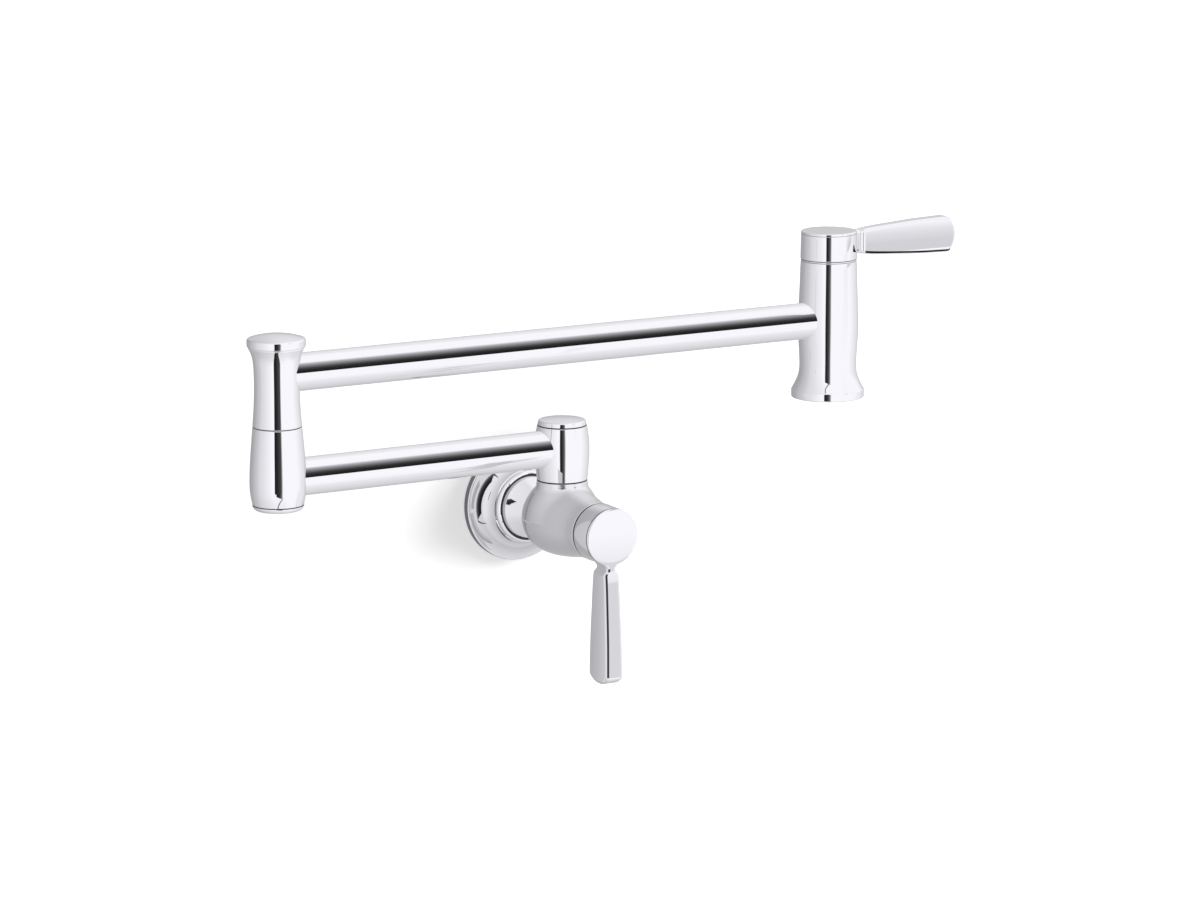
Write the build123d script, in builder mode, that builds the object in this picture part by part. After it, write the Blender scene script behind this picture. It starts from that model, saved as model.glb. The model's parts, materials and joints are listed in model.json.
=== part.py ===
"""Wall mounted pot filler with two swinging arms and two lever valves.

Millimetres, +Z up. The wall is the plane Y=0 and the tap stands out from it along -Y.
The origin is the middle of the wall flange's back, on the axis of the inlet.
The arms are drawn folded back along the wall.
"""
from build123d import *
import math
import os

os.makedirs("parts", exist_ok=True)

# ------------------------------------------------------------------ driving sizes
post_from_wall = 57.6      # wall to the upright axis that all three posts stand on
lower_reach = 186.4        # valve post to elbow, along the wall
upper_reach = 371.8        # elbow to outlet post, along the wall
lower_tube_z = 43.1        # height of the lower tube above the inlet axis
upper_tube_z = 104.1       # height of the upper tube
tube_r = 11.0              # outside radius of both tubes
tube_wall = 1.2
port_r = 6.0               # water port between a tube and its post

run = 0.05                 # clearance of a turning fit, on the radius or end on
seam = 0.3                 # open gap between two turning bodies where it is seen
bevel = 0.3                # small chamfer that makes each joint line

flange_r = 35.0
flange_edge = 5.4
inlet_r = 10.3             # wall of the pipe socket
inlet_depth = 18.0
tail_r = 18.5              # round end of the valve body inside the flange
collar_r = tail_r + 1.8    # opening of the flange round it
gasket_in = flange_r - 7.4
gasket_out = flange_r - 1.8
gasket_t = 3.0             # foam ring, from the wall

neck_r = 15.0              # upright neck of the valve body
neck_z = 23.7
# drop below the top of the neck, spread along the wall, spread away from it
neck_sections = (
    (neck_z, 5.0, 0.6), (16.7, 4.6, 0.6), (11.7, 3.6, 0.5), (6.7, 1.7, 0.3), (3.2, 0.4, 0.1), (0, 0, 0)
)
barrel_r = 17.0            # front of the valve body
swivel_r = 9.0             # hollow post the lower arm turns on
elbow_r = 8.4              # hollow post the upper arm turns on
washer_t = 0.4
elbow_z = 73.5             # top of the lower half of the elbow
ring_section = 0.8         # radius of the rubber of the swivel rings

chamber_r = 11.5           # bore that takes a valve cartridge
chamber_start = 50.0       # its floor, measured from the wall
chamber_len = 49.6         # floor to the rim of the body
outlet_floor_z = 90.5      # the same floor in the outlet body
disc_r = 9.45
stem_r = 4.9
drive_r = 4.0              # D shaped end of the stem
trim_t = 0.9               # thin ring behind each handle
hub_base_r = 17.2
hub_top_r = 16.9
hub_h = 15.2               # handle hub without its face disc
face_t = 1.6
boss_h = 3.2               # boss of the hub that enters the rim
nut_h = 8.0                # ring nut over the cartridge
lever_reach = 88.8         # hub axis to the tip of the lever
foot_r = 22.15             # wide foot of the outlet
foot_z = 56.3
aerator_r = 13.4

# ------------------------------------------------------------------ planes and axes
wall_side = Plane(origin=(0, 0, 0), x_dir=(0, -1, 0), z_dir=(-1, 0, 0))


def upright(x):
    """Plane through the upright axis at x: its first number is radius, its second height."""
    return Plane(origin=(x, -post_from_wall, 0), x_dir=(1, 0, 0), z_dir=(0, -1, 0))


def upright_axis(x):
    return Axis((x, -post_from_wall, 0), (0, 0, 1))


def level(x, z):
    """Level plane at height z, centred on the upright axis at x."""
    return Plane(origin=(x, -post_from_wall, z), x_dir=(1, 0, 0), z_dir=(0, 0, 1))


def beside(seat):
    """Plane along a seat's axis: first number is radius, second is distance from the seat."""
    return Plane(origin=seat.origin, x_dir=seat.x_dir, z_dir=seat.y_dir * -1)


def along(seat):
    return Axis(seat.origin, seat.z_dir)


def crown(r, z, top):
    """Arc of a shallow dome: from radius r at height z up to the axis at height top."""
    rise = top - z
    ball = (r * r + rise * rise) / (2 * rise)
    lean = math.degrees(math.asin(r / ball))
    return CenterArc((0, top - ball), ball, 90 - lean, lean)


elbow_x = -lower_reach
outlet_x = upper_reach - lower_reach
valve_seat = Plane(origin=(0, -chamber_start, 0), x_dir=(1, 0, 0), z_dir=(0, -1, 0))
outlet_seat = Plane(
    origin=(outlet_x, -post_from_wall, outlet_floor_z), x_dir=(0, 1, 0), z_dir=(0, 0, 1)
)
rim = chamber_len                       # end of the body, seen from the chamber floor
hub_c = rim + trim_t + seam             # back of the handle hub
face_c = hub_c + hub_h                  # back of the face disc
lever_c = hub_c + (hub_h + face_t) / 2 + 0.3  # middle of the lever, half way up the hub
sleeve_end = hub_c - boss_h - 1.6 - nut_h  # top of the cartridge sleeve, under its nut


# ------------------------------------------------------------------ wall flange
with BuildPart() as wall_flange:
    with BuildSketch(wall_side):
        with BuildLine():
            outer = Polyline((0, gasket_out), (0, flange_r), (flange_edge - 1.0, flange_r))
            edge = ThreePointArc(
                outer @ 1, (flange_edge - 0.25, flange_r - 0.3), (flange_edge + 0.1, flange_r - 1.2)
            )
            foot = collar_r + 1.9
            hollow = flange_r - foot
            face = Spline(
                edge @ 1, (7.2, foot + hollow / 2), (10.4, foot + hollow * 3 / 16), (14.9, foot),
                tangents=((0.12, -1), (1, -0.25)),
            )
            lip_r = collar_r + 1.2
            step = Polyline(face @ 1, (15.2, lip_r), (15.5, lip_r), (15.7, lip_r + 0.4))
            bead = ThreePointArc(step @ 1, (18.2, lip_r), (19.3, collar_r))
            Polyline(
                bead @ 1, (16.2, collar_r), (16.2, tail_r + 0.5), (9.6, tail_r + 0.5),
                (9.6, lip_r), (7.0, lip_r + 2.0), (gasket_t + 1.4, gasket_in),
                (gasket_t, gasket_in), (gasket_t, gasket_out), (0, gasket_out),
            )
        make_face()
    revolve(axis=Axis.Y)
wall_flange.part.label = "wall_flange"
export_step(wall_flange.part, "parts/wall_flange.step")

# foam ring that seals the flange to the wall
with BuildPart() as wall_gasket:
    with BuildSketch(wall_side):
        with Locations((gasket_t / 2, (gasket_in + gasket_out) / 2)):
            Rectangle(gasket_t, gasket_out - gasket_in - 0.4)
    revolve(axis=Axis.Y)
wall_gasket.part.label = "wall_gasket"
export_step(wall_gasket.part, "parts/wall_gasket.step")

# black ring between the flange collar and the valve body
with BuildPart() as flange_o_ring:
    with BuildSketch(wall_side):
        with Locations((17.6, (tail_r + collar_r) / 2)):
            RectangleRounded(2.4, collar_r - tail_r, 0.6)
    revolve(axis=Axis.Y)
flange_o_ring.part.label = "flange_o_ring"
export_step(flange_o_ring.part, "parts/flange_o_ring.step")

# ------------------------------------------------------------------ valve body
with BuildPart() as valve_body:
    with BuildSketch(wall_side):
        with BuildLine():
            tail = Polyline((0, 0), (0, tail_r), (20.6, tail_r), (21.4, tail_r - 0.5), (30.5, 12.3))
            waist = ThreePointArc(tail @ 1, (33.4, 11.2), (36.0, 12.6))
            bulb = Spline(
                waist @ 1, (40.0, 17.2), (46.0, 20.5), (56.0, 21.6), (68.0, 20.8), (82.0, 18.6),
                (chamber_start + rim - 7.6, barrel_r + 0.15), tangents=((1, 1.35), (1, -0.08)),
            )
            Polyline(
                bulb @ 1, (chamber_start + rim - bevel, barrel_r),
                (chamber_start + rim, barrel_r - bevel), (chamber_start + rim, 0), (0, 0),
            )
        make_face()
    revolve(axis=Axis.Y)
    # upright neck: round at its top, spread sideways below it so that it flows into the bulb
    for drop, spread_x, spread_y in neck_sections:
        with BuildSketch(level(0, neck_z - drop)):
            Ellipse(neck_r + spread_x, neck_r + spread_y)
    loft()
    crease = valve_body.edges().filter_by(
        lambda e: 8 < e.center().Z < neck_z - 1 and e.length > 20
        and abs(e.center().Y + post_from_wall) < neck_r
    )
    fillet(crease, 2.5)
    chamfer(valve_body.faces().sort_by(Axis.Z)[-1].edges(), bevel)
    # pipe socket, passage and cartridge chamber, bored along the inlet axis
    with BuildSketch(Plane.XZ):
        Circle(inlet_r)
    extrude(amount=inlet_depth, mode=Mode.SUBTRACT)
    with BuildSketch(Plane.XZ):
        Circle(5.0)
    extrude(amount=chamber_start, mode=Mode.SUBTRACT)
    with BuildSketch(valve_seat):
        Circle(chamber_r)
    extrude(amount=rim, mode=Mode.SUBTRACT)
    # seat of the swivel post and the port below it
    with BuildSketch(level(0, 12.0)):
        Circle(swivel_r - 1.0)
    extrude(amount=20, mode=Mode.SUBTRACT)
    with BuildSketch(level(0, 0)):
        Circle(port_r)
    extrude(amount=12.0, mode=Mode.SUBTRACT)
valve_body.part.label = "valve_body"
export_step(valve_body.part, "parts/valve_body.step")


# ------------------------------------------------------------------ cartridge, made twice
def trim_ring(seat):
    """Thin ring that closes the rim of the body behind the handle."""
    with BuildPart() as ring:
        with BuildSketch(beside(seat)):
            Polygon(
                (chamber_r, rim), (hub_base_r - 0.5, rim), (hub_base_r - 0.25, rim + bevel),
                (hub_base_r - 0.25, rim + trim_t - bevel), (hub_base_r - 0.5, rim + trim_t),
                (chamber_r, rim + trim_t), align=None,
            )
        revolve(axis=along(seat))
    return ring


def cartridge_body(seat):
    """Brass sleeve: disc pocket below, stem bore above, four water windows in a relief."""
    with BuildPart() as sleeve:
        with BuildSketch(beside(seat)):
            Polygon(
                (disc_r, 0), (chamber_r, 0), (chamber_r, 4.5), (chamber_r - 0.9, 4.5),
                (chamber_r - 0.9, 17.5), (chamber_r, 17.5), (chamber_r, 24), (chamber_r - 1.4, 24),
                (chamber_r - 1.4, 26), (chamber_r, 26), (chamber_r, sleeve_end),
                (stem_r + run, sleeve_end),
                (stem_r + run, 17), (disc_r, 17), align=None,
            )
        revolve(axis=along(seat))
        for turn in (45, 135):
            across = Plane(
                origin=seat.offset(10.8).origin,
                z_dir=seat.x_dir.rotate(along(seat), turn),
            )
            with BuildSketch(across):
                Circle(3.2)
            extrude(amount=chamber_r + 1, both=True, mode=Mode.SUBTRACT)
    return sleeve


def cartridge_nut(seat):
    """Ring nut above the sleeve, with two spanner slots."""
    with BuildPart() as nut:
        with BuildSketch(seat.offset(sleeve_end)):
            Circle(chamber_r)
            Circle(stem_r + 1.3, mode=Mode.SUBTRACT)
        extrude(amount=nut_h)
        with BuildSketch(seat.offset(sleeve_end + nut_h - 2.5)):
            Rectangle(2 * chamber_r + 2, 3)
        extrude(amount=3, mode=Mode.SUBTRACT)
    return nut


def cartridge_o_ring(seat):
    with BuildPart() as ring:
        with BuildSketch(beside(seat)):
            with Locations((chamber_r - 0.7, 25)):
                Circle(0.7)
        revolve(axis=along(seat))
    return ring


def fixed_disc(seat):
    """Ceramic disc with two ports that lies on the chamber floor."""
    with BuildPart() as disc:
        with BuildSketch(seat):
            Circle(disc_r)
            with Locations((5, 0), (-5, 0)):
                Circle(2.6, mode=Mode.SUBTRACT)
        extrude(amount=3.0)
    return disc


def moving_disc(seat):
    """Ceramic disc that turns with the stem; its ports stand across the fixed ones when shut."""
    with BuildPart() as disc:
        with BuildSketch(seat.offset(3.0 + run)):
            Circle(disc_r - run)
            with Locations((0, 5), (0, -5)):
                Circle(2.6, mode=Mode.SUBTRACT)
        extrude(amount=2.85)
    return disc


def stem(seat):
    """Spindle from the moving disc to the handle: tongue, collar, shank and D shaped drive."""
    with BuildPart() as spindle:
        with BuildSketch(seat.offset(5.9)):
            Rectangle(16, 4.4)
        extrude(amount=3.1)
        with BuildSketch(beside(seat)):
            Polygon(
                (0, 9), (stem_r, 9), (stem_r, 14.9), (8.2, 14.9), (8.2, 17 - run),
                (stem_r, 17 - run), (stem_r, rim + 0.4), (0, rim + 0.4), align=None,
            )
        revolve(axis=along(seat))
        with BuildSketch(seat.offset(rim + 0.4)):
            Circle(drive_r)
            with Locations((0, drive_r + 1.2)):
                Rectangle(10, 5, mode=Mode.SUBTRACT)
        extrude(amount=hub_c + 9.4 - rim - 0.4)
        with BuildSketch(seat.offset(hub_c + 1.4)):
            Circle(2.0)
        extrude(amount=10, mode=Mode.SUBTRACT)
    return spindle


# ------------------------------------------------------------------ handle, made twice
def hub_form(seat):
    """Outside shape of hub and face disc together; the lever's neck is shaped to it."""
    with BuildPart() as form:
        with BuildSketch(beside(seat)):
            Polygon(
                (0, hub_c), (hub_base_r, hub_c), (hub_base_r, hub_c + bevel),
                (hub_top_r, face_c - 0.2), (hub_top_r, face_c + face_t), (0, face_c + face_t),
                align=None,
            )
        revolve(axis=along(seat))
    return form


def hub(seat):
    """Handle hub: slightly tapered drum with a boss that enters the rim of the body."""
    with BuildPart() as drum:
        with BuildSketch(beside(seat)):
            Polygon(
                (0, hub_c - boss_h), (chamber_r - seam, hub_c - boss_h), (chamber_r - seam, hub_c),
                (hub_base_r - bevel, hub_c), (hub_base_r, hub_c + bevel),
                (hub_top_r, face_c - 0.2), (hub_top_r - 0.2, face_c), (0, face_c), align=None,
            )
        revolve(axis=along(seat))
        with BuildSketch(seat.offset(hub_c - boss_h)):
            Circle(stem_r)
        extrude(amount=rim + 0.4 - (hub_c - boss_h), mode=Mode.SUBTRACT)
        with BuildSketch(seat.offset(rim + 0.4)):
            Circle(drive_r)
            with Locations((0, drive_r + 1.2)):
                Rectangle(10, 5, mode=Mode.SUBTRACT)
        extrude(amount=20, mode=Mode.SUBTRACT)
        with BuildSketch(seat.offset(hub_c + 9.4)):
            Circle(4.6)
        extrude(amount=10, mode=Mode.SUBTRACT)
        # round socket for the tenon of the lever
        with BuildSketch(Plane(origin=seat.offset(lever_c).origin, z_dir=seat.y_dir * -1).offset(8)):
            Circle(4.5)
        extrude(amount=12, mode=Mode.SUBTRACT)
    return drum


def face_disc(seat):
    """Plain front disc with a plug that fills the screw hole."""
    with BuildPart() as disc:
        with BuildSketch(beside(seat)):
            with BuildLine():
                back = Polyline(
                    (0, hub_c + 12.6), (4.6, hub_c + 12.6), (4.6, face_c),
                    (hub_top_r - 0.2, face_c), (hub_top_r - 0.05, face_c + 0.2),
                    (hub_top_r - 0.05, face_c + 0.8),
                )
                turn = ThreePointArc(
                    back @ 1, (hub_top_r - 0.2, face_c + 1.35), (hub_top_r - 0.7, face_c + face_t)
                )
                Polyline(turn @ 1, (0, face_c + face_t), (0, hub_c + 12.6))
            make_face()
        revolve(axis=along(seat))
    return disc


def handle_screw(seat):
    """Socket head screw that holds the hub on the stem."""
    with BuildPart() as screw:
        with BuildSketch(beside(seat)):
            Polygon(
                (0, hub_c + 1.4), (2.0, hub_c + 1.4), (2.0, hub_c + 9.4), (3.8, hub_c + 9.4),
                (3.8, hub_c + 11.6), (3.4, hub_c + 12.0), (0, hub_c + 12.0), align=None,
            )
        revolve(axis=along(seat))
        with BuildSketch(seat.offset(hub_c + 10.4)):
            RegularPolygon(1.7, 6)
        extrude(amount=3, mode=Mode.SUBTRACT)
    return screw


def lever(seat, form):
    """Paddle lever. Two outlines cross: the broad one gives the flare and the crowned tip, the
    thin one the waist and the shoulders. The long edges are then rounded, the root is shaped
    to the hub and a tenon added."""
    broad = Plane(origin=seat.offset(lever_c).origin, x_dir=seat.y_dir * -1, z_dir=seat.x_dir * -1)
    thin = Plane(origin=seat.offset(lever_c).origin, x_dir=seat.y_dir * -1, z_dir=seat.z_dir)
    tip = lever_reach
    with BuildPart() as paddle:
        with BuildSketch(broad) as flare:
            with BuildLine():
                neck = Line((12, 7.3), (20.2, 7.3))
                side = Spline(
                    neck @ 1, (23.4, 7.6), (42.0, 9.15), (62.0, 10.35), (tip - 4.4, 10.95),
                    tangents=((1, 0), (1, 0.02)),
                )
                crown = ThreePointArc(side @ 1, (tip, 0), (tip - 4.4, -10.95))
                mirror(neck, about=Plane.XZ)
                mirror(side, about=Plane.XZ)
                Line((12, 7.3), (12, -7.3))
            make_face()
            fillet(flare.vertices().sort_by(Axis.X)[-2:], 3.2)
        extrude(amount=12, both=True)
        with BuildSketch(thin) as waisted:
            with BuildLine():
                half = Polyline(
                    (12, 4.6), (16.6, 4.6), (18.6, 3.0), (20.4, 3.0), (22.4, 5.1), (tip + 4, 5.95)
                )
                mirror(half, about=Plane.XZ)
                Line((12, 4.6), (12, -4.6))
                Line((tip + 4, 5.95), (tip + 4, -5.95))
            make_face()
            for u, round_r in ((18.6, 2.0), (20.4, 1.2), (22.4, 1.8)):
                fillet(waisted.vertices().filter_by(lambda v: abs(v.X - u) < 0.1), round_r)
        extrude(amount=14, both=True, mode=Mode.INTERSECT)

        def runs_outward(e):
            """True for the edges that run from the root towards the tip and across it."""
            a, b = e @ 0 - seat.origin, e @ 1 - seat.origin
            straight = (b - a).normalized()
            square = max(abs(straight.dot(seat.x_dir)), abs(straight.dot(seat.z_dir))) > 0.9999
            return not square and min(-a.dot(seat.y_dir), -b.dot(seat.y_dir)) > 13

        fillet(paddle.edges().filter_by(runs_outward), 1.2)
        add(form.part, mode=Mode.SUBTRACT)
        with BuildSketch(Plane(origin=broad.origin, z_dir=broad.x_dir).offset(8)):
            Circle(4.5)
        extrude(amount=10.5)
    return paddle


def make(name, piece):
    piece.part.label = name
    export_step(piece.part, "parts/" + name + ".step")


for side_name, seat in (("valve", valve_seat), ("outlet", outlet_seat)):
    form = hub_form(seat)
    make(side_name + "_trim_ring", trim_ring(seat))
    make(side_name + "_cartridge_body", cartridge_body(seat))
    make(side_name + "_cartridge_nut", cartridge_nut(seat))
    make(side_name + "_cartridge_o_ring", cartridge_o_ring(seat))
    make(side_name + "_fixed_disc", fixed_disc(seat))
    make(side_name + "_moving_disc", moving_disc(seat))
    make(side_name + "_stem", stem(seat))
    make(side_name + "_handle_hub", hub(seat))
    make(side_name + "_handle_face", face_disc(seat))
    make(side_name + "_handle_screw", handle_screw(seat))
    make(side_name + "_handle_lever", lever(seat, form))


# ------------------------------------------------------------------ swivel of the lower arm
hub_bottom = neck_z + washer_t + run
hub_ledge = 53.5
hub_top = 56.5


def hollow_post(x, root_r, root_z, shoulder_z, r, top_z, port_z, waist_r, waist_h, bore, rings):
    """Hollow post: thick root, turning length, relief with cross holes, two ring grooves."""
    with BuildPart() as post:
        with BuildSketch(upright(x)):
            Polygon(
                (0, root_z), (root_r, root_z), (root_r, shoulder_z), (r, shoulder_z),
                (r, top_z), (0, top_z), align=None,
            )
            for z in rings:
                with Locations((r, z)):
                    Rectangle(4 * ring_section, 2 * ring_section + 0.3, mode=Mode.SUBTRACT)
            with Locations(((waist_r + r + 1) / 2, port_z)):
                Rectangle(r + 1 - waist_r, waist_h, mode=Mode.SUBTRACT)
        revolve(axis=upright_axis(x))
        with BuildSketch(level(x, root_z)):
            Circle(bore)
        extrude(amount=port_z + 3.4 - root_z, mode=Mode.SUBTRACT)
        for turn in (0, 90):
            with BuildSketch(
                Plane(origin=(x, -post_from_wall, port_z),
                      z_dir=(math.cos(math.radians(turn)), math.sin(math.radians(turn)), 0))
            ):
                Circle(3.0)
            extrude(amount=r + 1, both=True, mode=Mode.SUBTRACT)
        with BuildSketch(level(x, top_z - 4.6)):
            Circle(3.0)
        extrude(amount=6, mode=Mode.SUBTRACT)
    return post


def post_rings(x, r, rings):
    """Pair of rubber rings in the grooves of a post."""
    with BuildPart() as pair:
        with BuildSketch(upright(x)):
            with Locations(*[(r - ring_section, z) for z in rings]):
                Circle(ring_section)
        revolve(axis=upright_axis(x))
    return pair


def post_washer(x, inner, outer, z):
    """Flat washer under the turning body."""
    with BuildPart() as washer:
        with BuildSketch(level(x, z)):
            Circle(outer)
            Circle(inner, mode=Mode.SUBTRACT)
        extrude(amount=washer_t)
    return washer


def retainer(x, head_r, z):
    """Flat headed screw on top of a post that keeps the turning body down."""
    with BuildPart() as screw:
        with BuildSketch(upright(x)):
            Polygon(
                (0, z - 4.6), (3.0, z - 4.6), (3.0, z), (head_r, z), (head_r, z + 1.3),
                (head_r - 0.5, z + 1.8), (0, z + 1.8), align=None,
            )
        revolve(axis=upright_axis(x))
        with BuildSketch(level(x, z - 1.5)):
            RegularPolygon(2.4, 6)
        extrude(amount=4, mode=Mode.SUBTRACT)
    return screw


swivel_rings = (28.0, 51.4)
make("swivel_post", hollow_post(
    0, swivel_r - 1.0, 12.0, neck_z, swivel_r, hub_ledge + run, lower_tube_z, 7.4, 9.0, 5.2,
    swivel_rings))
make("swivel_o_rings", post_rings(0, swivel_r, swivel_rings))
make("swivel_washer", post_washer(0, swivel_r, neck_r - 1.2, neck_z))
make("swivel_retainer", retainer(0, 10.9, hub_ledge + run))

# ------------------------------------------------------------------ lower arm
with BuildPart() as lower_hub_form:
    with BuildSketch(upright(0)):
        with BuildLine():
            up = Line((0, hub_bottom), (15.0 - bevel, hub_bottom))
            low = Line(up @ 1, (15.0, hub_bottom + bevel))
            belly = Spline(
                low @ 1, (15.75, 33.0), (16.15, 41.5), (15.75, 50.0), (14.8, hub_top - bevel)
            )
            Polyline(belly @ 1, (14.8 - bevel, hub_top), (0, hub_top), (0, hub_bottom))
        make_face()
    revolve(axis=upright_axis(0))

with BuildPart() as lower_arm_hub:
    add(lower_hub_form.part)
    with BuildSketch(level(0, hub_bottom)):
        Circle(swivel_r + run)
    extrude(amount=40, mode=Mode.SUBTRACT)
    with BuildSketch(level(0, hub_ledge)):
        Circle(chamber_r)
    extrude(amount=10, mode=Mode.SUBTRACT)
    with BuildSketch(Plane(origin=(0, -post_from_wall, lower_tube_z), z_dir=(-1, 0, 0))):
        Circle(port_r)
    extrude(amount=20, mode=Mode.SUBTRACT)
make("lower_arm_hub", lower_arm_hub)

with BuildPart() as lower_arm_cap:
    with BuildSketch(upright(0)):
        with BuildLine():
            plug = Polyline(
                (0, hub_top - 0.9), (chamber_r, hub_top - 0.9), (chamber_r, hub_top),
                (14.5 - bevel, hub_top), (14.5, hub_top + bevel), (14.2, hub_top + 2.3),
            )
            edge = ThreePointArc(plug @ 1, (13.9, hub_top + 3.0), (13.1, hub_top + 3.35))
            dome = crown(13.1, hub_top + 3.35, hub_top + 4.3)
            Line((0, hub_top + 4.3), (0, hub_top - 0.9))
        make_face()
    revolve(axis=upright_axis(0))
make("lower_arm_cap", lower_arm_cap)

# lower half of the elbow
elbow_bottom = 28.5
plug_depth = 4.6           # spigot of the plug inside the elbow
plug_head = 3.5            # what shows below it
with BuildPart() as elbow_lower_form:
    with BuildSketch(upright(elbow_x)):
        with BuildLine():
            foot = Polyline(
                (0, elbow_bottom), (14.9 - bevel, elbow_bottom), (14.9, elbow_bottom + bevel)
            )
            belly = Spline(
                foot @ 1, (15.95, 34.5), (16.3, 43.5), (15.7, 56.0), (14.75, elbow_z - 6.0),
                (14.3, elbow_z - bevel),
            )
            Polyline(belly @ 1, (14.3 - bevel, elbow_z), (0, elbow_z), (0, elbow_bottom))
        make_face()
    revolve(axis=upright_axis(elbow_x))

with BuildPart() as elbow_lower:
    add(elbow_lower_form.part)
    with BuildSketch(level(elbow_x, elbow_bottom)):
        Circle(chamber_r)
    extrude(amount=plug_depth + 0.6, mode=Mode.SUBTRACT)
    with BuildSketch(level(elbow_x, elbow_bottom)):
        Circle(10.0)
    extrude(amount=56.0 - elbow_bottom, mode=Mode.SUBTRACT)
    with BuildSketch(level(elbow_x, elbow_bottom)):
        Circle(swivel_r)
    extrude(amount=60, mode=Mode.SUBTRACT)
    with BuildSketch(Plane(origin=(elbow_x, -post_from_wall, lower_tube_z), z_dir=(1, 0, 0))):
        Circle(port_r)
    extrude(amount=20, mode=Mode.SUBTRACT)
make("elbow_lower", elbow_lower)

with BuildPart() as elbow_plug:
    with BuildSketch(upright(elbow_x)):
        with BuildLine():
            spigot = Polyline(
                (0, elbow_bottom + plug_depth), (chamber_r, elbow_bottom + plug_depth),
                (chamber_r, elbow_bottom + 3.6), (chamber_r - 1.4, elbow_bottom + 3.6),
                (chamber_r - 1.4, elbow_bottom + 1.8), (chamber_r, elbow_bottom + 1.8),
                (chamber_r, elbow_bottom), (14.8 - bevel, elbow_bottom),
                (14.8, elbow_bottom - bevel),
            )
            round_edge = ThreePointArc(
                spigot @ 1, (14.1, elbow_bottom - 2.2), (12.2, elbow_bottom - 3.2)
            )
            Polyline(
                round_edge @ 1, (0, elbow_bottom - plug_head), (0, elbow_bottom + plug_depth)
            )
        make_face()
    revolve(axis=upright_axis(elbow_x))
    with BuildSketch(level(elbow_x, elbow_bottom - plug_head)):
        RegularPolygon(4.6, 6)
    extrude(amount=plug_head, mode=Mode.SUBTRACT)
make("elbow_plug", elbow_plug)

with BuildPart() as plug_o_ring:
    with BuildSketch(upright(elbow_x)):
        with Locations((chamber_r - 0.7, elbow_bottom + 2.7)):
            Circle(0.7)
    revolve(axis=upright_axis(elbow_x))
make("plug_o_ring", plug_o_ring)


def coped_tube(x_from, x_to, z, forms):
    """Tube between two upright axes with both ends shaped to the bodies they meet."""
    with BuildPart() as tube:
        with BuildSketch(Plane(origin=(x_from, -post_from_wall, z), z_dir=(1, 0, 0))):
            Circle(tube_r)
            Circle(tube_r - tube_wall, mode=Mode.SUBTRACT)
        extrude(amount=x_to - x_from)
        for form in forms:
            add(form.part, mode=Mode.SUBTRACT)
    return tube


make("lower_tube", coped_tube(elbow_x, 0, lower_tube_z, (elbow_lower_form, lower_hub_form)))

# post, rings, washer and screw of the elbow
upper_bottom = elbow_z + washer_t + run
upper_top = 119.6
elbow_ledge = upper_top - 6.6
elbow_rings = (upper_bottom + 3.25, elbow_ledge - 2.2)
make("elbow_post", hollow_post(
    elbow_x, swivel_r, 56.0, elbow_z, elbow_r, elbow_ledge + run, upper_tube_z, 6.9, 8.8, 4.8,
    elbow_rings))
make("elbow_o_rings", post_rings(elbow_x, elbow_r, elbow_rings))
make("elbow_washer", post_washer(elbow_x, elbow_r, 13.1, elbow_z))
make("elbow_retainer", retainer(elbow_x, 9.8, elbow_ledge + run))

# ------------------------------------------------------------------ upper arm
with BuildPart() as elbow_upper_form:
    with BuildSketch(upright(elbow_x)):
        with BuildLine():
            foot = Polyline(
                (0, upper_bottom), (14.2 - bevel, upper_bottom), (14.2, upper_bottom + bevel)
            )
            waist = Spline(
                foot @ 1, (13.5, upper_bottom + 9.4), (13.0, 98.0), (13.3, upper_top - 10.6),
                (14.4, upper_top - 4.2), (16.2, upper_top - bevel),
            )
            Polyline(waist @ 1, (16.2 - bevel, upper_top), (0, upper_top), (0, upper_bottom))
        make_face()
    revolve(axis=upright_axis(elbow_x))

with BuildPart() as elbow_upper:
    add(elbow_upper_form.part)
    with BuildSketch(level(elbow_x, upper_bottom)):
        Circle(elbow_r + run)
    extrude(amount=60, mode=Mode.SUBTRACT)
    with BuildSketch(level(elbow_x, elbow_ledge)):
        Circle(10.3)
    extrude(amount=20, mode=Mode.SUBTRACT)
    with BuildSketch(Plane(origin=(elbow_x, -post_from_wall, upper_tube_z), z_dir=(1, 0, 0))):
        Circle(port_r)
    extrude(amount=20, mode=Mode.SUBTRACT)
make("elbow_upper", elbow_upper)

with BuildPart() as elbow_cap:
    with BuildSketch(upright(elbow_x)):
        with BuildLine():
            plug = Polyline(
                (0, upper_top - 3.6), (10.3, upper_top - 3.6), (10.3, upper_top),
                (16.1, upper_top), (16.1, upper_top + 0.3), (16.7, upper_top + 0.6),
                (16.9, upper_top + 1.0), (16.9, upper_top + 3.9),
            )
            shoulder = ThreePointArc(plug @ 1, (16.6, upper_top + 4.9), (15.8, upper_top + 5.4))
            dome = crown(15.8, upper_top + 5.4, upper_top + 7.8)
            Line((0, upper_top + 7.8), (0, upper_top - 3.6))
        make_face()
    revolve(axis=upright_axis(elbow_x))
make("elbow_cap", elbow_cap)

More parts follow.
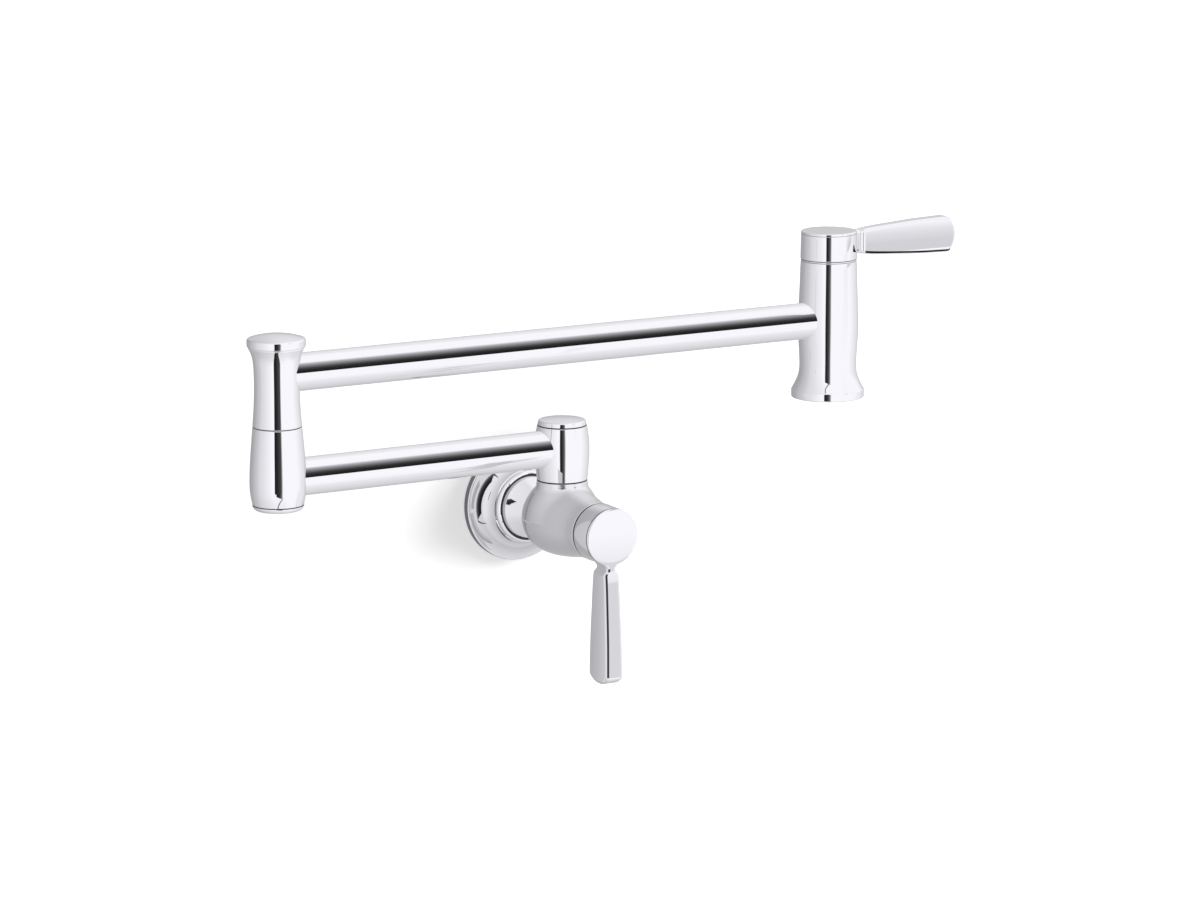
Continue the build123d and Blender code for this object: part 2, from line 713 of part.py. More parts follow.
# outlet body: tall waisted barrel on a wide foot
outlet_top = outlet_floor_z + rim
with BuildPart() as outlet_form:
    with BuildSketch(upright(outlet_x)):
        with BuildLine():
            foot = Polyline((0, foot_z), (foot_r - 0.8, foot_z))
            heel = ThreePointArc(foot @ 1, (foot_r - 0.2, foot_z + 0.25), (foot_r, foot_z + 0.9))
            band = Line(heel @ 1, (foot_r, foot_z + 4.6))
            lip = Line(band @ 1, (foot_r - 0.35, foot_z + 5.3))
            flare = Spline(
                lip @ 1, (19.6, foot_z + 9.6), (17.75, foot_z + 15.0), (17.3, foot_z + 21.0),
                (17.75, foot_z + 30.2), (18.3, foot_z + 42.2), (17.95, outlet_top - 25.6),
                (17.4, outlet_top - 11.1), (16.9, outlet_top - bevel),
                tangents=((-0.5, 1), (-0.1, 1)),
            )
            Polyline(flare @ 1, (16.9 - bevel, outlet_top), (0, outlet_top), (0, foot_z))
        make_face()
    revolve(axis=upright_axis(outlet_x))

with BuildPart() as outlet_body:
    add(outlet_form.part)
    with BuildSketch(outlet_seat):
        Circle(chamber_r)
    extrude(amount=rim, mode=Mode.SUBTRACT)
    with BuildSketch(level(outlet_x, foot_z)):
        Circle(8.0)
    extrude(amount=40, mode=Mode.SUBTRACT)
    with BuildSketch(level(outlet_x, foot_z)):
        Circle(aerator_r)
    extrude(amount=13.0, mode=Mode.SUBTRACT)
    with BuildSketch(Plane(origin=(outlet_x, -post_from_wall, upper_tube_z), z_dir=(-1, 0, 0))):
        Circle(port_r)
    extrude(amount=21, mode=Mode.SUBTRACT)
make("outlet_body", outlet_body)

make("upper_tube", coped_tube(elbow_x, outlet_x, upper_tube_z, (elbow_upper_form, outlet_form)))

# aerator: housing with coin slots, washer above it, plastic insert with a grid of holes
with BuildPart() as aerator_housing:
    with BuildSketch(upright(outlet_x)):
        Polygon(
            (10.2, foot_z + 0.7), (12.6, foot_z + 0.7), (aerator_r, foot_z + 1.4),
            (aerator_r, foot_z + 11.4), (11.4, foot_z + 11.4), (11.4, foot_z + 2.6),
            (10.2, foot_z + 2.6), align=None,
        )
    revolve(axis=upright_axis(outlet_x))
    with BuildSketch(level(outlet_x, foot_z)):
        with PolarLocations(12.6, 4):
            Rectangle(3.2, 2.4)
    extrude(amount=2.0, mode=Mode.SUBTRACT)
make("aerator_housing", aerator_housing)

with BuildPart() as aerator_insert:
    with BuildSketch(level(outlet_x, foot_z + 2.6)):
        Circle(11.4)
        with HexLocations(1.45, 7, 7):
            Circle(0.95, mode=Mode.SUBTRACT)
    extrude(amount=3.0)
make("aerator_insert", aerator_insert)

with BuildPart() as aerator_gasket:
    with BuildSketch(level(outlet_x, foot_z + 11.4)):
        Circle(aerator_r)
        Circle(8.4, mode=Mode.SUBTRACT)
    extrude(amount=1.6)
make("aerator_gasket", aerator_gasket)
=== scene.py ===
# %% [markdown]
# # A wall mounted pot filler in polished chrome
# This lesson dresses a tap that is already built as a working model. The model comes in as a
# fixed frame: its pieces, joints and sizes stay as they are. What Blender adds is the skin that
# the eye sees, that is smooth cast bodies, drawn tubes and forged levers, and a small studio
# whose white boards and black flags give polished metal something to reflect. With chrome the
# two can't be parted, because all that one sees on it is the room around it.

# %% Load the frame
import json
import math

import bpy
import numpy as np
from mathutils import Matrix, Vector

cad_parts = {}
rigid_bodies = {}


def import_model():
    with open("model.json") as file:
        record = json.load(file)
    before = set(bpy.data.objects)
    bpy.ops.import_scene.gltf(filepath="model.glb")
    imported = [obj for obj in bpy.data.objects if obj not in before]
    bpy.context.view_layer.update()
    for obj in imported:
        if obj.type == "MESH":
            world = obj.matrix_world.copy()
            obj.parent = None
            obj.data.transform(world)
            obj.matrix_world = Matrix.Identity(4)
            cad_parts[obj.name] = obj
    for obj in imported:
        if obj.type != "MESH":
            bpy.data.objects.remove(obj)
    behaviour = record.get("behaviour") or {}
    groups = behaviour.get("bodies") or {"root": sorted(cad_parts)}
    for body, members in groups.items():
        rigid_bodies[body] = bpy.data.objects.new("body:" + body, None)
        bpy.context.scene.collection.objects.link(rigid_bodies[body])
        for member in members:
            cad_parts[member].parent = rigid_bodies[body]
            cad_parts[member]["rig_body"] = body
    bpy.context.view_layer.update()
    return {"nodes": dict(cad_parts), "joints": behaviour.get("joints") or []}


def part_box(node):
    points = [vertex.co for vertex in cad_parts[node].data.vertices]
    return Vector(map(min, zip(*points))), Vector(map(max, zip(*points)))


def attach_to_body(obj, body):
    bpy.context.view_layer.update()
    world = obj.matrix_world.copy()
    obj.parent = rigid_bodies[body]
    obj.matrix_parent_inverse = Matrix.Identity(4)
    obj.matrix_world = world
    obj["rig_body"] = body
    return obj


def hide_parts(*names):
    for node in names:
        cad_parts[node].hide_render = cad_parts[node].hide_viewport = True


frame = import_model()
joint_at = {joint["name"]: np.array(joint["pos_m"]) * 1000 for joint in frame["joints"]}

# %% [markdown]
# ## Sizes
# Everything below is written in millimetres and turned into metres at the very end. The places
# of the three upright posts could be typed in, but they are read from the joints of the frame,
# and so are the ends of the cast bodies, so that each skin lands on the piece it dresses.

# %% Places and sizes, in millimetres
POST_FROM_WALL = -joint_at["lower_arm_swing"][1]
ELBOW_X = joint_at["upper_arm_swing"][0]
OUTLET_X = joint_at["outlet_handle_turn"][0]
NECK_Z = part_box("valve_body")[1].z * 1000
RIM_S = -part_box("valve_body")[0].y * 1000
OUTLET_LOW, OUTLET_TOP = (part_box("outlet_body")[k].z * 1000 for k in (0, 1))
BEVEL = 0.3
print("posts at x", round(ELBOW_X, 1), 0, round(OUTLET_X, 1))
print("valve body ends", round(RIM_S, 1), "from the wall and", round(NECK_Z, 1), "above the inlet")

# %% [markdown]
# ## Straight lines and arcs
# A turned part is known by its outline: radius against height. Outlines are short chains of
# straight lines, arcs and one kind of smooth curve. They could be drawn as Blender curves, but
# here each is an array of points, so that a whole outline is one array too. Small real bevels
# are kept, because on polished metal an edge is seen only by the thin light or dark line that
# its rounding picks up.

# %% Straight lines, arcs and chains
LONG_STRETCH, SUPPORT = 1.0, 0.15


def unit(way):
    """Same direction, length one."""
    return way / np.linalg.norm(way)


def without_doubles(line):
    """Drops each point that repeats the one before it."""
    step = np.linalg.norm(np.diff(line, axis=0), axis=1)
    return line[np.concatenate([[True], step > 1e-6])]


def straight(*points):
    """Line through the points. A long stretch gets two more points close to its ends, so that
    smooth shading bends only there and a flat band still reflects like a flat one."""
    p = np.array(points, float)
    way = np.diff(p, axis=0)
    length = np.linalg.norm(way, axis=1)[:, None]
    step = np.where(length > LONG_STRETCH, SUPPORT / np.maximum(length, LONG_STRETCH), 0) * way
    line = np.stack([p[:-1], p[:-1] + step, p[1:] - step], axis=1).reshape(-1, 2)
    return without_doubles(np.vstack([line, p[-1:]]))


def arc(start, via, end, steps=10):
    """Circle through three points: its centre solves two equal-distance equations, and the
    angle then runs from start to end on the side where via lies."""
    a, b, c = (np.array(p, float) for p in (start, via, end))
    centre = np.linalg.solve(2 * np.array([b - a, c - a]), [b @ b - a @ a, c @ c - a @ a])
    turn = [math.atan2(*(p - centre)[::-1]) for p in (a, b, c)]
    mid, last = ((angle - turn[0]) % (2 * math.pi) for angle in turn[1:])
    if mid > last:
        last -= 2 * math.pi
    t = turn[0] + np.linspace(0, last, steps + 1)
    return centre + np.linalg.norm(a - centre) * np.column_stack([np.cos(t), np.sin(t)])


def chain(*runs):
    """One outline from several runs."""
    return without_doubles(np.vstack(runs))


print("a quarter circle has", len(arc((1, 0), (0.7071, 0.7071), (0, 1))), "points")

# %% [markdown]
# ## Domes and smooth curves
# The lids of this tap are very shallow domes, each a slice of a large ball. The sides of the
# posts swell and narrow without a break, as a hand-filed template would guide the lathe. A
# Bezier curve could give that too, but a cubic spline passes through every measured point.

# %% Domes and smooth curves
def dome(radius, height, top, steps=14):
    """Shallow dome: the arc from (radius, height) up to the axis, centred on the axis. The ball
    has the radius (radius^2 + rise^2) / (2 rise)."""
    rise = top - height
    ball = (radius ** 2 + rise ** 2) / (2 * rise)
    t = np.linspace(math.asin(radius / ball), 0, steps + 1)
    return np.column_stack([ball * np.sin(t), top - ball + ball * np.cos(t)])


def smooth(points, start=None, end=None, steps=8):
    """Cubic spline through the points. The knots are the chord lengths, the second derivative
    is continuous, and each end has a given direction or is free."""
    p = np.array(points, float)
    knots = np.concatenate([[0], np.cumsum(np.linalg.norm(np.diff(p, axis=0), axis=1))])
    h, n = np.diff(knots), len(p)
    slope = np.diff(p, axis=0) / h[:, None]
    system, right = np.zeros((n, n)), np.zeros((n, 2))
    inner = np.arange(1, n - 1)
    system[inner, inner - 1], system[inner, inner + 1] = h[1:], h[:-1]
    system[inner, inner] = 2 * (h[:-1] + h[1:])
    right[inner] = 3 * (h[1:, None] * slope[:-1] + h[:-1, None] * slope[1:])
    for row, near, way, side in ((0, 1, start, 0), (n - 1, n - 2, end, -1)):
        system[row, row] = 1.0 if way is not None else 2.0
        system[row, near] = 0.0 if way is not None else 1.0
        right[row] = unit(np.array(way)) if way is not None else 3 * slope[side]
    tangent = np.linalg.solve(system, right)
    t = np.unique(knots[:-1, None] + h[:, None] * np.linspace(0, 1, steps + 1))
    k = np.clip(np.searchsorted(knots, t, side="right") - 1, 0, n - 2)
    u, w = ((t - knots[k]) / h[k])[:, None], h[k][:, None]
    return (
        p[k] * (1 + 2 * u) * (1 - u) ** 2 + p[k + 1] * u ** 2 * (3 - 2 * u)
        + w * tangent[k] * u * (1 - u) ** 2 - w * tangent[k + 1] * u ** 2 * (1 - u)
    )


print("a dome rises to", dome(13.0, 0.0, 1.0)[-1].round(3), "on its axis")

# %% [markdown]
# ## From a grid of points to faces
# Every new piece is a grid of points: rows one way, columns the other. Neighbours make a
# four-sided face, and a closed direction joins its last line to its first. Where a row shrinks
# to one point, as on an axis, the doubles are merged. The enclosed volume is then measured, and
# a negative one shows that the faces point inwards and must turn. Blender could recalculate the
# normals instead, but the volume is sure and quick.

# %% Faces of a grid
MERGE = 2e-7


def grid_faces(rows, columns, close_rows, close_columns):
    """Quads between neighbours: corner indices (i, j), (i+1, j), (i+1, j+1), (i, j+1)."""
    i = np.arange(rows if close_rows else rows - 1)[:, None]
    j = np.arange(columns if close_columns else columns - 1)[None, :]
    below, beside = (i + 1) % rows, (j + 1) % columns
    corners = [i * columns + j, below * columns + j, below * columns + beside, i * columns + beside]
    return np.stack(np.broadcast_arrays(*corners), axis=-1).reshape(-1, 4)


def merged(points, faces):
    """Gives points that agree to MERGE metres one number, and renumbers the faces."""
    key = np.round(points / MERGE).astype(np.int64)
    _, first, number = np.unique(key, axis=0, return_index=True, return_inverse=True)
    return points[first], number.reshape(-1)[faces]


def volume(points, faces):
    """Sum of signed tetrahedra between the origin and each half of a quad."""
    a, b, c, d = (points[faces[:, k]] for k in range(4))
    return np.einsum("ij,ij->i", a, np.cross(b, c) + np.cross(c, d)).sum() / 6


print("a tube of 3 by 8 points has", len(grid_faces(3, 8, False, True)), "faces")

# %% [markdown]
# ## From faces to an object
# The arrays go into a mesh, and the mesh into an object that stays at the origin. Faces are
# shaded smooth, so that a few hundred of them look like one curve, but edges sharper than a
# chosen angle stay crisp, as they are on machined metal.

# %% Objects
SHARP = 32.0


def add_object(name, data):
    """Object at the origin, linked into the scene."""
    piece = bpy.data.objects.new(name, data)
    bpy.context.scene.collection.objects.link(piece)
    return piece


def mesh_object(name, points, faces, sharp=SHARP):
    """Object from points in millimetres, with its faces outwards. A quad with one pair of equal
    neighbours becomes a triangle, and one with more pairs has no area and is dropped."""
    points, faces = merged(points.reshape(-1, 3) * 0.001, faces)
    if volume(points, faces) < 0:
        faces = faces[:, ::-1]
    same_next = faces == np.roll(faces, -1, axis=1)
    pairs = same_next.sum(axis=1)
    quads = faces[pairs == 0]
    triangles = faces[pairs == 1][~same_next[pairs == 1]].reshape(-1, 3)
    mesh = bpy.data.meshes.new(name)
    mesh.from_pydata(points.tolist(), [], quads.tolist() + triangles.tolist())
    mesh.polygons.foreach_set("use_smooth", np.ones(len(mesh.polygons), bool))
    mesh.set_sharp_from_angle(angle=math.radians(sharp))
    mesh.update()
    return add_object(name, mesh)


print("edges sharper than", SHARP, "degrees stay crisp")

# %% [markdown]
# ## Turned pieces
# Most of this tap comes off a lathe, so most of it is an outline swept round an axis. The Screw
# modifier does the same, but an array keeps the same points on every run and lets the tubes be
# cut to the very same outline later.

# %% Turned pieces
AROUND = 224


def turned(name, outline, origin, axis, across, closed=False):
    """Solid of revolution. A point at radius r and height h of the outline becomes
    origin + h axis + r (cos t across + sin t (axis x across)), with t round the circle."""
    axis, across = np.array(axis, float), np.array(across, float)
    t = np.linspace(0, 2 * math.pi, AROUND, endpoint=False)
    ring = np.cos(t)[:, None] * across + np.sin(t)[:, None] * np.cross(axis, across)
    radius, height = outline[:, 0], outline[:, 1]
    points = origin + height[:, None, None] * axis + radius[:, None, None] * ring[None]
    return mesh_object(name, points, grid_faces(len(outline), AROUND, closed, True))


def upright_turned(name, outline, x, closed=False):
    """Turned piece on the upright axis at x; heights are above the inlet axis."""
    return turned(name, outline, np.array([x, -POST_FROM_WALL, 0]), (0, 0, 1), (1, 0, 0), closed)


def wall_turned(name, outline, closed=False):
    """Turned piece on the inlet axis; heights are distances from the wall."""
    return turned(name, outline, np.zeros(3), (0, -1, 0), (1, 0, 0), closed)


print(AROUND, "points round each turned piece")

# %% [markdown]
# ## Nodes by name
# A finish is a small net of shader nodes. The net could be drawn in the editor, but written
# down it is the same on every run. One helper adds a node and fills its inputs, either with a
# number or with a wire from another node, and a second one reads a value through a tone ramp.

# %% Node helpers
def add_node(tree, kind, inputs=(), **settings):
    """Adds a node, changes its settings and fills its inputs by name or number. An output of
    another node is linked, and anything else becomes the value of the input."""
    node = tree.nodes.new("ShaderNode" + kind)
    for key, value in settings.items():
        setattr(node, key, value)
    for key, value in dict(inputs).items():
        if isinstance(value, bpy.types.NodeSocket):
            tree.links.new(value, node.inputs[key])
        else:
            node.inputs[key].default_value = value
    return node


def ramp(tree, value, stops):
    """Grey tone by straight steps between stops of position and tone."""
    node = add_node(tree, "ValToRGB", {"Fac": value})
    elements = node.color_ramp.elements
    while len(elements) < len(stops):
        elements.new(0.5)
    while len(elements) > len(stops):
        elements.remove(elements[-1])
    for element, (position, tone) in zip(elements, stops):
        element.position, element.color = position, (tone, tone, tone, 1)
    return node.outputs["Color"]


def new_material(name):
    """Material, its net of nodes and its main shader."""
    material = bpy.data.materials.new(name)
    material.use_nodes = True
    return material, material.node_tree, material.node_tree.nodes["Principled BSDF"]


def object_place(tree):
    """Place on the piece itself, in metres, which moves with the piece."""
    return add_node(tree, "TexCoord").outputs["Object"]


print("materials before the first finish", len(bpy.data.materials))

# %% [markdown]
# ## Wear and grain
# No real finish is the same all over. A picture of scratches could be laid on, but a noise
# worked out from the place on the piece has no seams and no limit to its detail. It is stretched
# along one direction where the metal was buffed that way.

# %% Noise, tints and bumps
def noise(tree, scale, detail=2.0, stretch=(1, 1, 1)):
    """Noise on Object coordinates, with scale in waves per metre along each axis."""
    mapping = add_node(tree, "Mapping", {"Vector": object_place(tree), "Scale": stretch})
    inputs = {"Vector": mapping.outputs["Vector"], "Scale": scale, "Detail": detail}
    return add_node(tree, "TexNoise", inputs).outputs["Fac"]


def map_range(tree, value, low, high, to_low=0.0, to_high=1.0, kind="LINEAR"):
    """Moves a value from the range low to high into the range to_low to to_high."""
    inputs = {"Value": value, "From Min": low, "From Max": high, "To Min": to_low, "To Max": to_high}
    return add_node(tree, "MapRange", inputs, interpolation_type=kind).outputs[0]


def spread(tree, value, low, high):
    """Maps a noise value, which stays mostly between 0.3 and 0.7, to low and high."""
    return map_range(tree, value, 0.3, 0.7, low, high)


def tinted(tree, value, dark, light):
    """Colour that moves between two close tones with the noise."""
    inputs = {0: value, 6: (*dark, 1), 7: (*light, 1)}
    return add_node(tree, "Mix", inputs, data_type="RGBA").outputs[2]


def add_bump(tree, shader, height, strength, distance):
    """Fine relief from a height."""
    bump = add_node(tree, "Bump", {"Strength": strength, "Distance": distance, "Height": height})
    tree.links.new(bump.outputs["Normal"], shader.inputs["Normal"])


print("noise helpers are ready")

# %% [markdown]
# ## Polished chrome
# Polished chrome has almost no colour of its own: a metallic surface with a bright, faintly
# cool base and a very low roughness. Two things keep it from looking like a computer's mirror.
# The polish varies, so a broad soft noise moves the roughness a little, and fine buffing lines
# add a second, tighter one. Both read Object coordinates, so they stay on the piece as it moves.

# %% Chrome of the posts, tubes, handles and trim
CHROME_TONE = (0.94, 0.934, 0.985)
CLOUD_SCALE, BUFF_SCALE = 38.0, 260.0


def chrome(name, rough, buff_along, darkest=0.985, cloud_along=(1, 1, 1)):
    """Metal mirror: roughness = broad cloud, plus buffing lines stretched along one axis. The
    tone follows the cloud from darkest times the chrome tone up to the chrome tone."""
    material, tree, shader = new_material(name)
    shader.inputs["Metallic"].default_value = 1.0
    cloud = noise(tree, CLOUD_SCALE, 3.0, cloud_along)
    lines = noise(tree, BUFF_SCALE, 1.0, buff_along)
    tone = tinted(tree, cloud, [c * darkest for c in CHROME_TONE], CHROME_TONE)
    tree.links.new(tone, shader.inputs["Base Color"])
    cloud_part = spread(tree, cloud, rough * 0.7, rough * 1.2)
    total = add_node(tree, "Math", {0: cloud_part, 1: spread(tree, lines, 0.0, rough * 0.35)})
    tree.links.new(total.outputs[0], shader.inputs["Roughness"])
    add_bump(tree, shader, lines, 0.02, 0.00001)
    return material


chrome_cast = chrome("polished_cast_chrome", 0.035, (1, 1, 0.12))
chrome_tube = chrome("polished_tube_chrome", 0.03, (0.08, 1, 1))
chrome_handle = chrome("polished_handle_chrome", 0.03, (0.3, 1, 1))
chrome_trim = chrome("bright_trim_chrome", 0.05, (1, 0.2, 1))
print("chrome finishes", len(bpy.data.materials))

# %% [markdown]
# ## Chrome that changes over a piece
# The flange sits in the shade of the tap, so its hollow reads darker than its bead. That darker hollow is
# painted shade: the base colour is dimmed by the distance from the inlet axis. The valve body is mirror
# bright beside the wall and finely brushed where the hand reaches it. Two pieces with two finishes would show
# a seam, so one material changes with the place on the piece.

# %% Flange and valve body finishes
TONE_SPAN = 50.0


def painted_shade_by_radius(material, stops):
    """Paints shade: multiplies the base colour by a tone that follows the distance sqrt(x^2 + z^2) from the
    inlet axis. The whole ramp stands for TONE_SPAN millimetres."""
    tree, shader = material.node_tree, material.node_tree.nodes["Principled BSDF"]
    share = 1000 / TONE_SPAN
    flat = add_node(tree, "VectorMath", {0: object_place(tree), 1: (share, 0, share)}, operation="MULTIPLY")
    length = add_node(tree, "VectorMath", {0: flat.outputs["Vector"]}, operation="LENGTH")
    tone = ramp(tree, length.outputs["Value"], [(radius / TONE_SPAN, tone) for radius, tone in stops])
    before = shader.inputs["Base Color"].links[0].from_socket
    mix = add_node(tree, "Mix", {0: 1.0, 6: before, 7: tone}, data_type="RGBA", blend_type="MULTIPLY")
    tree.links.new(mix.outputs[2], shader.inputs["Base Color"])
    return material


def softer_away_from_wall(material, near_y, far_y, added):
    """Adds to the roughness as the metal leaves the wall: from none at near_y to added at far_y."""
    tree, shader = material.node_tree, material.node_tree.nodes["Principled BSDF"]
    axes = add_node(tree, "SeparateXYZ", {0: object_place(tree)})
    extra = map_range(tree, axes.outputs["Y"], near_y, far_y, 0.0, added)
    before = shader.inputs["Roughness"].links[0].from_socket
    total = add_node(tree, "Math", {0: before, 1: extra})
    tree.links.new(total.outputs[0], shader.inputs["Roughness"])
    return material


# The flange's cove, about 23.5 to 34 mm from the axis, is dimmed in its base colour: painted shade, not a
# different metal.
painted_shade_flange_chrome = painted_shade_by_radius(
    chrome("spun_flange_painted_shade_chrome", 0.04, (1, 0.2, 1)),
    [(22.0, 1.0), (23.5, 0.86), (26.0, 0.84), (27.2, 0.7), (33.6, 0.7), (34.6, 0.9)],
)
satin_cast = softer_away_from_wall(
    chrome("satin_cast_chrome", 0.04, (1, 0.22, 1), 0.87, (1, 0.22, 1)), -0.036, -0.046, 0.15)
print("finishes", painted_shade_flange_chrome.name, satin_cast.name)

# %% [markdown]
# ## Everything that isn't chrome
# Rubber, foam, brass, steel, ceramic and plastic differ by tone, roughness and grain. One
# recipe serves them all: two close tones that follow a fine noise, a roughness that moves with
# it, and a slight relief.

# %% Rubber, foam, brass, steel, ceramic and plastic
def plain(name, dark, light, rough, scale, bump=0.1, metallic=0.0):
    """Two close tones, a roughness within a fifth of its value, and a fine grain."""
    material, tree, shader = new_material(name)
    shader.inputs["Metallic"].default_value = metallic
    grain = noise(tree, scale, 4.0)
    tree.links.new(tinted(tree, grain, dark, light), shader.inputs["Base Color"])
    tree.links.new(spread(tree, grain, rough * 0.8, rough * 1.2), shader.inputs["Roughness"])
    add_bump(tree, shader, grain, bump, 0.00005)
    return material


# Black for the gap rings: painted shade that stands for the dark inside of the joints between pieces.
seam_black = plain("seam_black", (0.004, 0.004, 0.004), (0.008, 0.008, 0.009), 0.7, 900.0, 0.2)
rubber = plain("black_rubber", (0.012, 0.012, 0.013), (0.022, 0.022, 0.023), 0.45, 1200.0, 0.25)
foam = plain("grey_closed_cell_foam", (0.16, 0.16, 0.17), (0.24, 0.24, 0.25), 0.9, 2600.0, 0.8)
brass = plain("machined_brass", (0.70, 0.50, 0.22), (0.80, 0.60, 0.30), 0.25, 700.0, 0.1, 1.0)
steel = plain("stainless_steel", (0.56, 0.56, 0.57), (0.66, 0.66, 0.67), 0.28, 900.0, 0.1, 1.0)
ceramic = plain("dense_ceramic", (0.80, 0.80, 0.78), (0.88, 0.88, 0.86), 0.18, 500.0, 0.05)
white_plastic = plain("white_slip_plastic", (0.74, 0.74, 0.72), (0.82, 0.82, 0.80), 0.4, 800.0, 0.1)
grey_plastic = plain("grey_moulded_plastic", (0.30, 0.31, 0.32), (0.38, 0.39, 0.40), 0.42, 900.0, 0.15)
print("finishes", len(bpy.data.materials))

# %% [markdown]
# ## Dressing a node
# A new skin has to move with the joint that its piece belongs to, and the plain piece under it has to make
# room. So the skin rides with the piece's body and takes a finish, and the plain piece is hidden. The pieces
# don't mirror each other: the studio's boards alone draw the lines in the chrome, so that each line stays
# clean, as a photographer would want it.

# %% Dress a node
def attach(piece, node, finish):
    """Rides with the node's body and takes a slot and a finish."""
    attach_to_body(piece, frame["nodes"][node]["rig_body"])
    piece.data.materials.append(finish)
    piece.visible_glossy = False


def dress(piece, node, finish):
    """Attaches a piece that stands for the node."""
    attach(piece, node, finish)
    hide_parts(node)
    print(piece.name, len(piece.data.polygons), "faces")


def cast_piece(name, node, outline, x, closed=False):
    """Polished casting, turned on the upright axis at x."""
    dress(upright_turned(name, outline, x, closed), node, chrome_cast)


# %% [markdown]
# ## The wall flange
# A spun bell of sheet brass: a thin upright edge against the wall, a hollow cove that rises to a
# narrow collar, and a rounded bead at its mouth. A bare cone would do from afar, but the dark
# crescent that the chrome shows there needs the true hollow. The outline runs round the metal
# and back along the inside, so that the shell has its real wall and its groove for the foam.

# %% Wall flange
FLANGE_R, FLANGE_EDGE = 35.0, 5.4
TAIL_R = 18.5
COLLAR_R = TAIL_R + 1.8
LIP_R = COLLAR_R + 1.2
# here a point is (distance from the wall, radius), so the two columns are swapped at the end
cove_start = (FLANGE_EDGE + 0.1, FLANGE_R - 1.2)
flange_line = chain(
    straight((0, FLANGE_R - 1.8), (0, FLANGE_R - 0.25), (0.25, FLANGE_R)),
    arc((FLANGE_EDGE - 1.0, FLANGE_R), (FLANGE_EDGE - 0.25, FLANGE_R - 0.3), cove_start),
    smooth([cove_start, (7.1, 28.6), (9.2, 25.5), (11.6, 23.35), (14.9, COLLAR_R + 1.9)],
           (0.12, -1), (1, -0.25), 14),
    straight((15.2, LIP_R), (15.5, LIP_R)),
    arc((15.7, LIP_R + 0.4), (18.2, LIP_R), (19.3, COLLAR_R), 14),
    straight((16.2, COLLAR_R), (16.2, TAIL_R + 0.5), (9.6, TAIL_R + 0.5), (9.6, LIP_R), (7.0, LIP_R + 2),
             (4.4, FLANGE_R - 7.4), (3.0, FLANGE_R - 7.4), (3.0, FLANGE_R - 1.8)),
)[:, ::-1]
dress(wall_turned("flange_shell", flange_line, True), "wall_flange", painted_shade_flange_chrome)

# %% [markdown]
# ## The black ring in the collar
# A rubber ring fills the gap between the collar and the valve body, and keeps splashes out. A
# torus would sink into both, so the ring is turned to the shape it has once it is pressed in.

# %% Black collar ring
ring_line = chain(
    straight((17.0, TAIL_R), (18.2, TAIL_R)),
    arc((18.2, TAIL_R), (18.8, 19.0), (18.8, 19.4), 4),
    arc((18.8, 19.4), (18.6, 20.2), (17.6, COLLAR_R), 6),
    straight((16.5, COLLAR_R - 0.2), (16.5, TAIL_R + 0.2)),
)[:, ::-1]
dress(wall_turned("collar_ring", ring_line, True), "flange_o_ring", rubber)

# %% [markdown]
# ## The valve body: its form
# The casting is the hardest form of the tap. A bulb lies along the inlet axis, and an upright
# neck grows out of it with a soft hollow between the two. A boolean and a bevel would leave a
# crease that chrome shows at once. Instead the two bodies are written as distances, and a soft
# minimum joins them. Its softness fades to nothing at the neck's machined edge.

# %% Bulb, neck and the soft blend between them
NECK_R, BARREL_R = 15.0, 17.0
NECK_DROP = np.array([0, 3.2, 6.7, 11.7, 16.7, 24.0])
SPREAD_X = np.array([0, 0.45, 1.7, 3.6, 4.6, 5.0])
SPREAD_Y = np.array([0, 0.1, 0.3, 0.5, 0.6, 0.6])
SOFT_BLEND, SOFT_GROWTH, SOFT_LEAST = 6.0, 0.9, 0.02
FAR_OFF = 50.0
bulb_line = smooth(
    [(36.0, 12.6), (40.0, 17.2), (46.0, 20.5), (56.0, 21.6), (68.0, 20.8), (82.0, 18.6),
     (92.0, BARREL_R + 0.15)],
    (1, 1.35), (1, -0.08), 24,
)


def bulb_radius(s):
    """Radius of the bulb at the distance s from the wall."""
    return np.interp(s, np.append(bulb_line[:, 0], RIM_S), np.append(bulb_line[:, 1], BARREL_R))


def blended(p):
    """Signed form: soft minimum of the bulb's and the neck's distance. With gap g between the
    two and softness k, the minimum is lowered by (k - g)^2 / 4k where g is less than k."""
    x, y, z = p[..., 0], p[..., 1], p[..., 2]
    bulb = np.hypot(x, z) - bulb_radius(-y)
    drop = NECK_Z - BEVEL - z
    wide = NECK_R + np.interp(drop, NECK_DROP, SPREAD_X)
    deep = NECK_R + np.interp(drop, NECK_DROP, SPREAD_Y)
    neck = (np.sqrt((x / wide) ** 2 + ((y + POST_FROM_WALL) / deep) ** 2) - 1) * NECK_R
    neck = np.where(z > 0, neck, FAR_OFF)
    soft = np.clip(SOFT_GROWTH * drop, SOFT_LEAST, SOFT_BLEND)
    overlap = np.clip(soft - np.abs(bulb - neck), 0, None)
    return np.minimum(bulb, neck) - overlap ** 2 / (4 * soft)


print("the bulb is", round(2 * bulb_line[:, 1].max(), 1), "mm across at its widest")

# %% [markdown]
# ## The valve body: where its skin starts
# The skin is laid out as rings across the inlet axis. Each ring starts at the top of the casting
# and runs down one side. Where the neck stands, the top is the neck's round edge, so the rings
# climb to it on a short slope, follow the edge, and come down again in front.

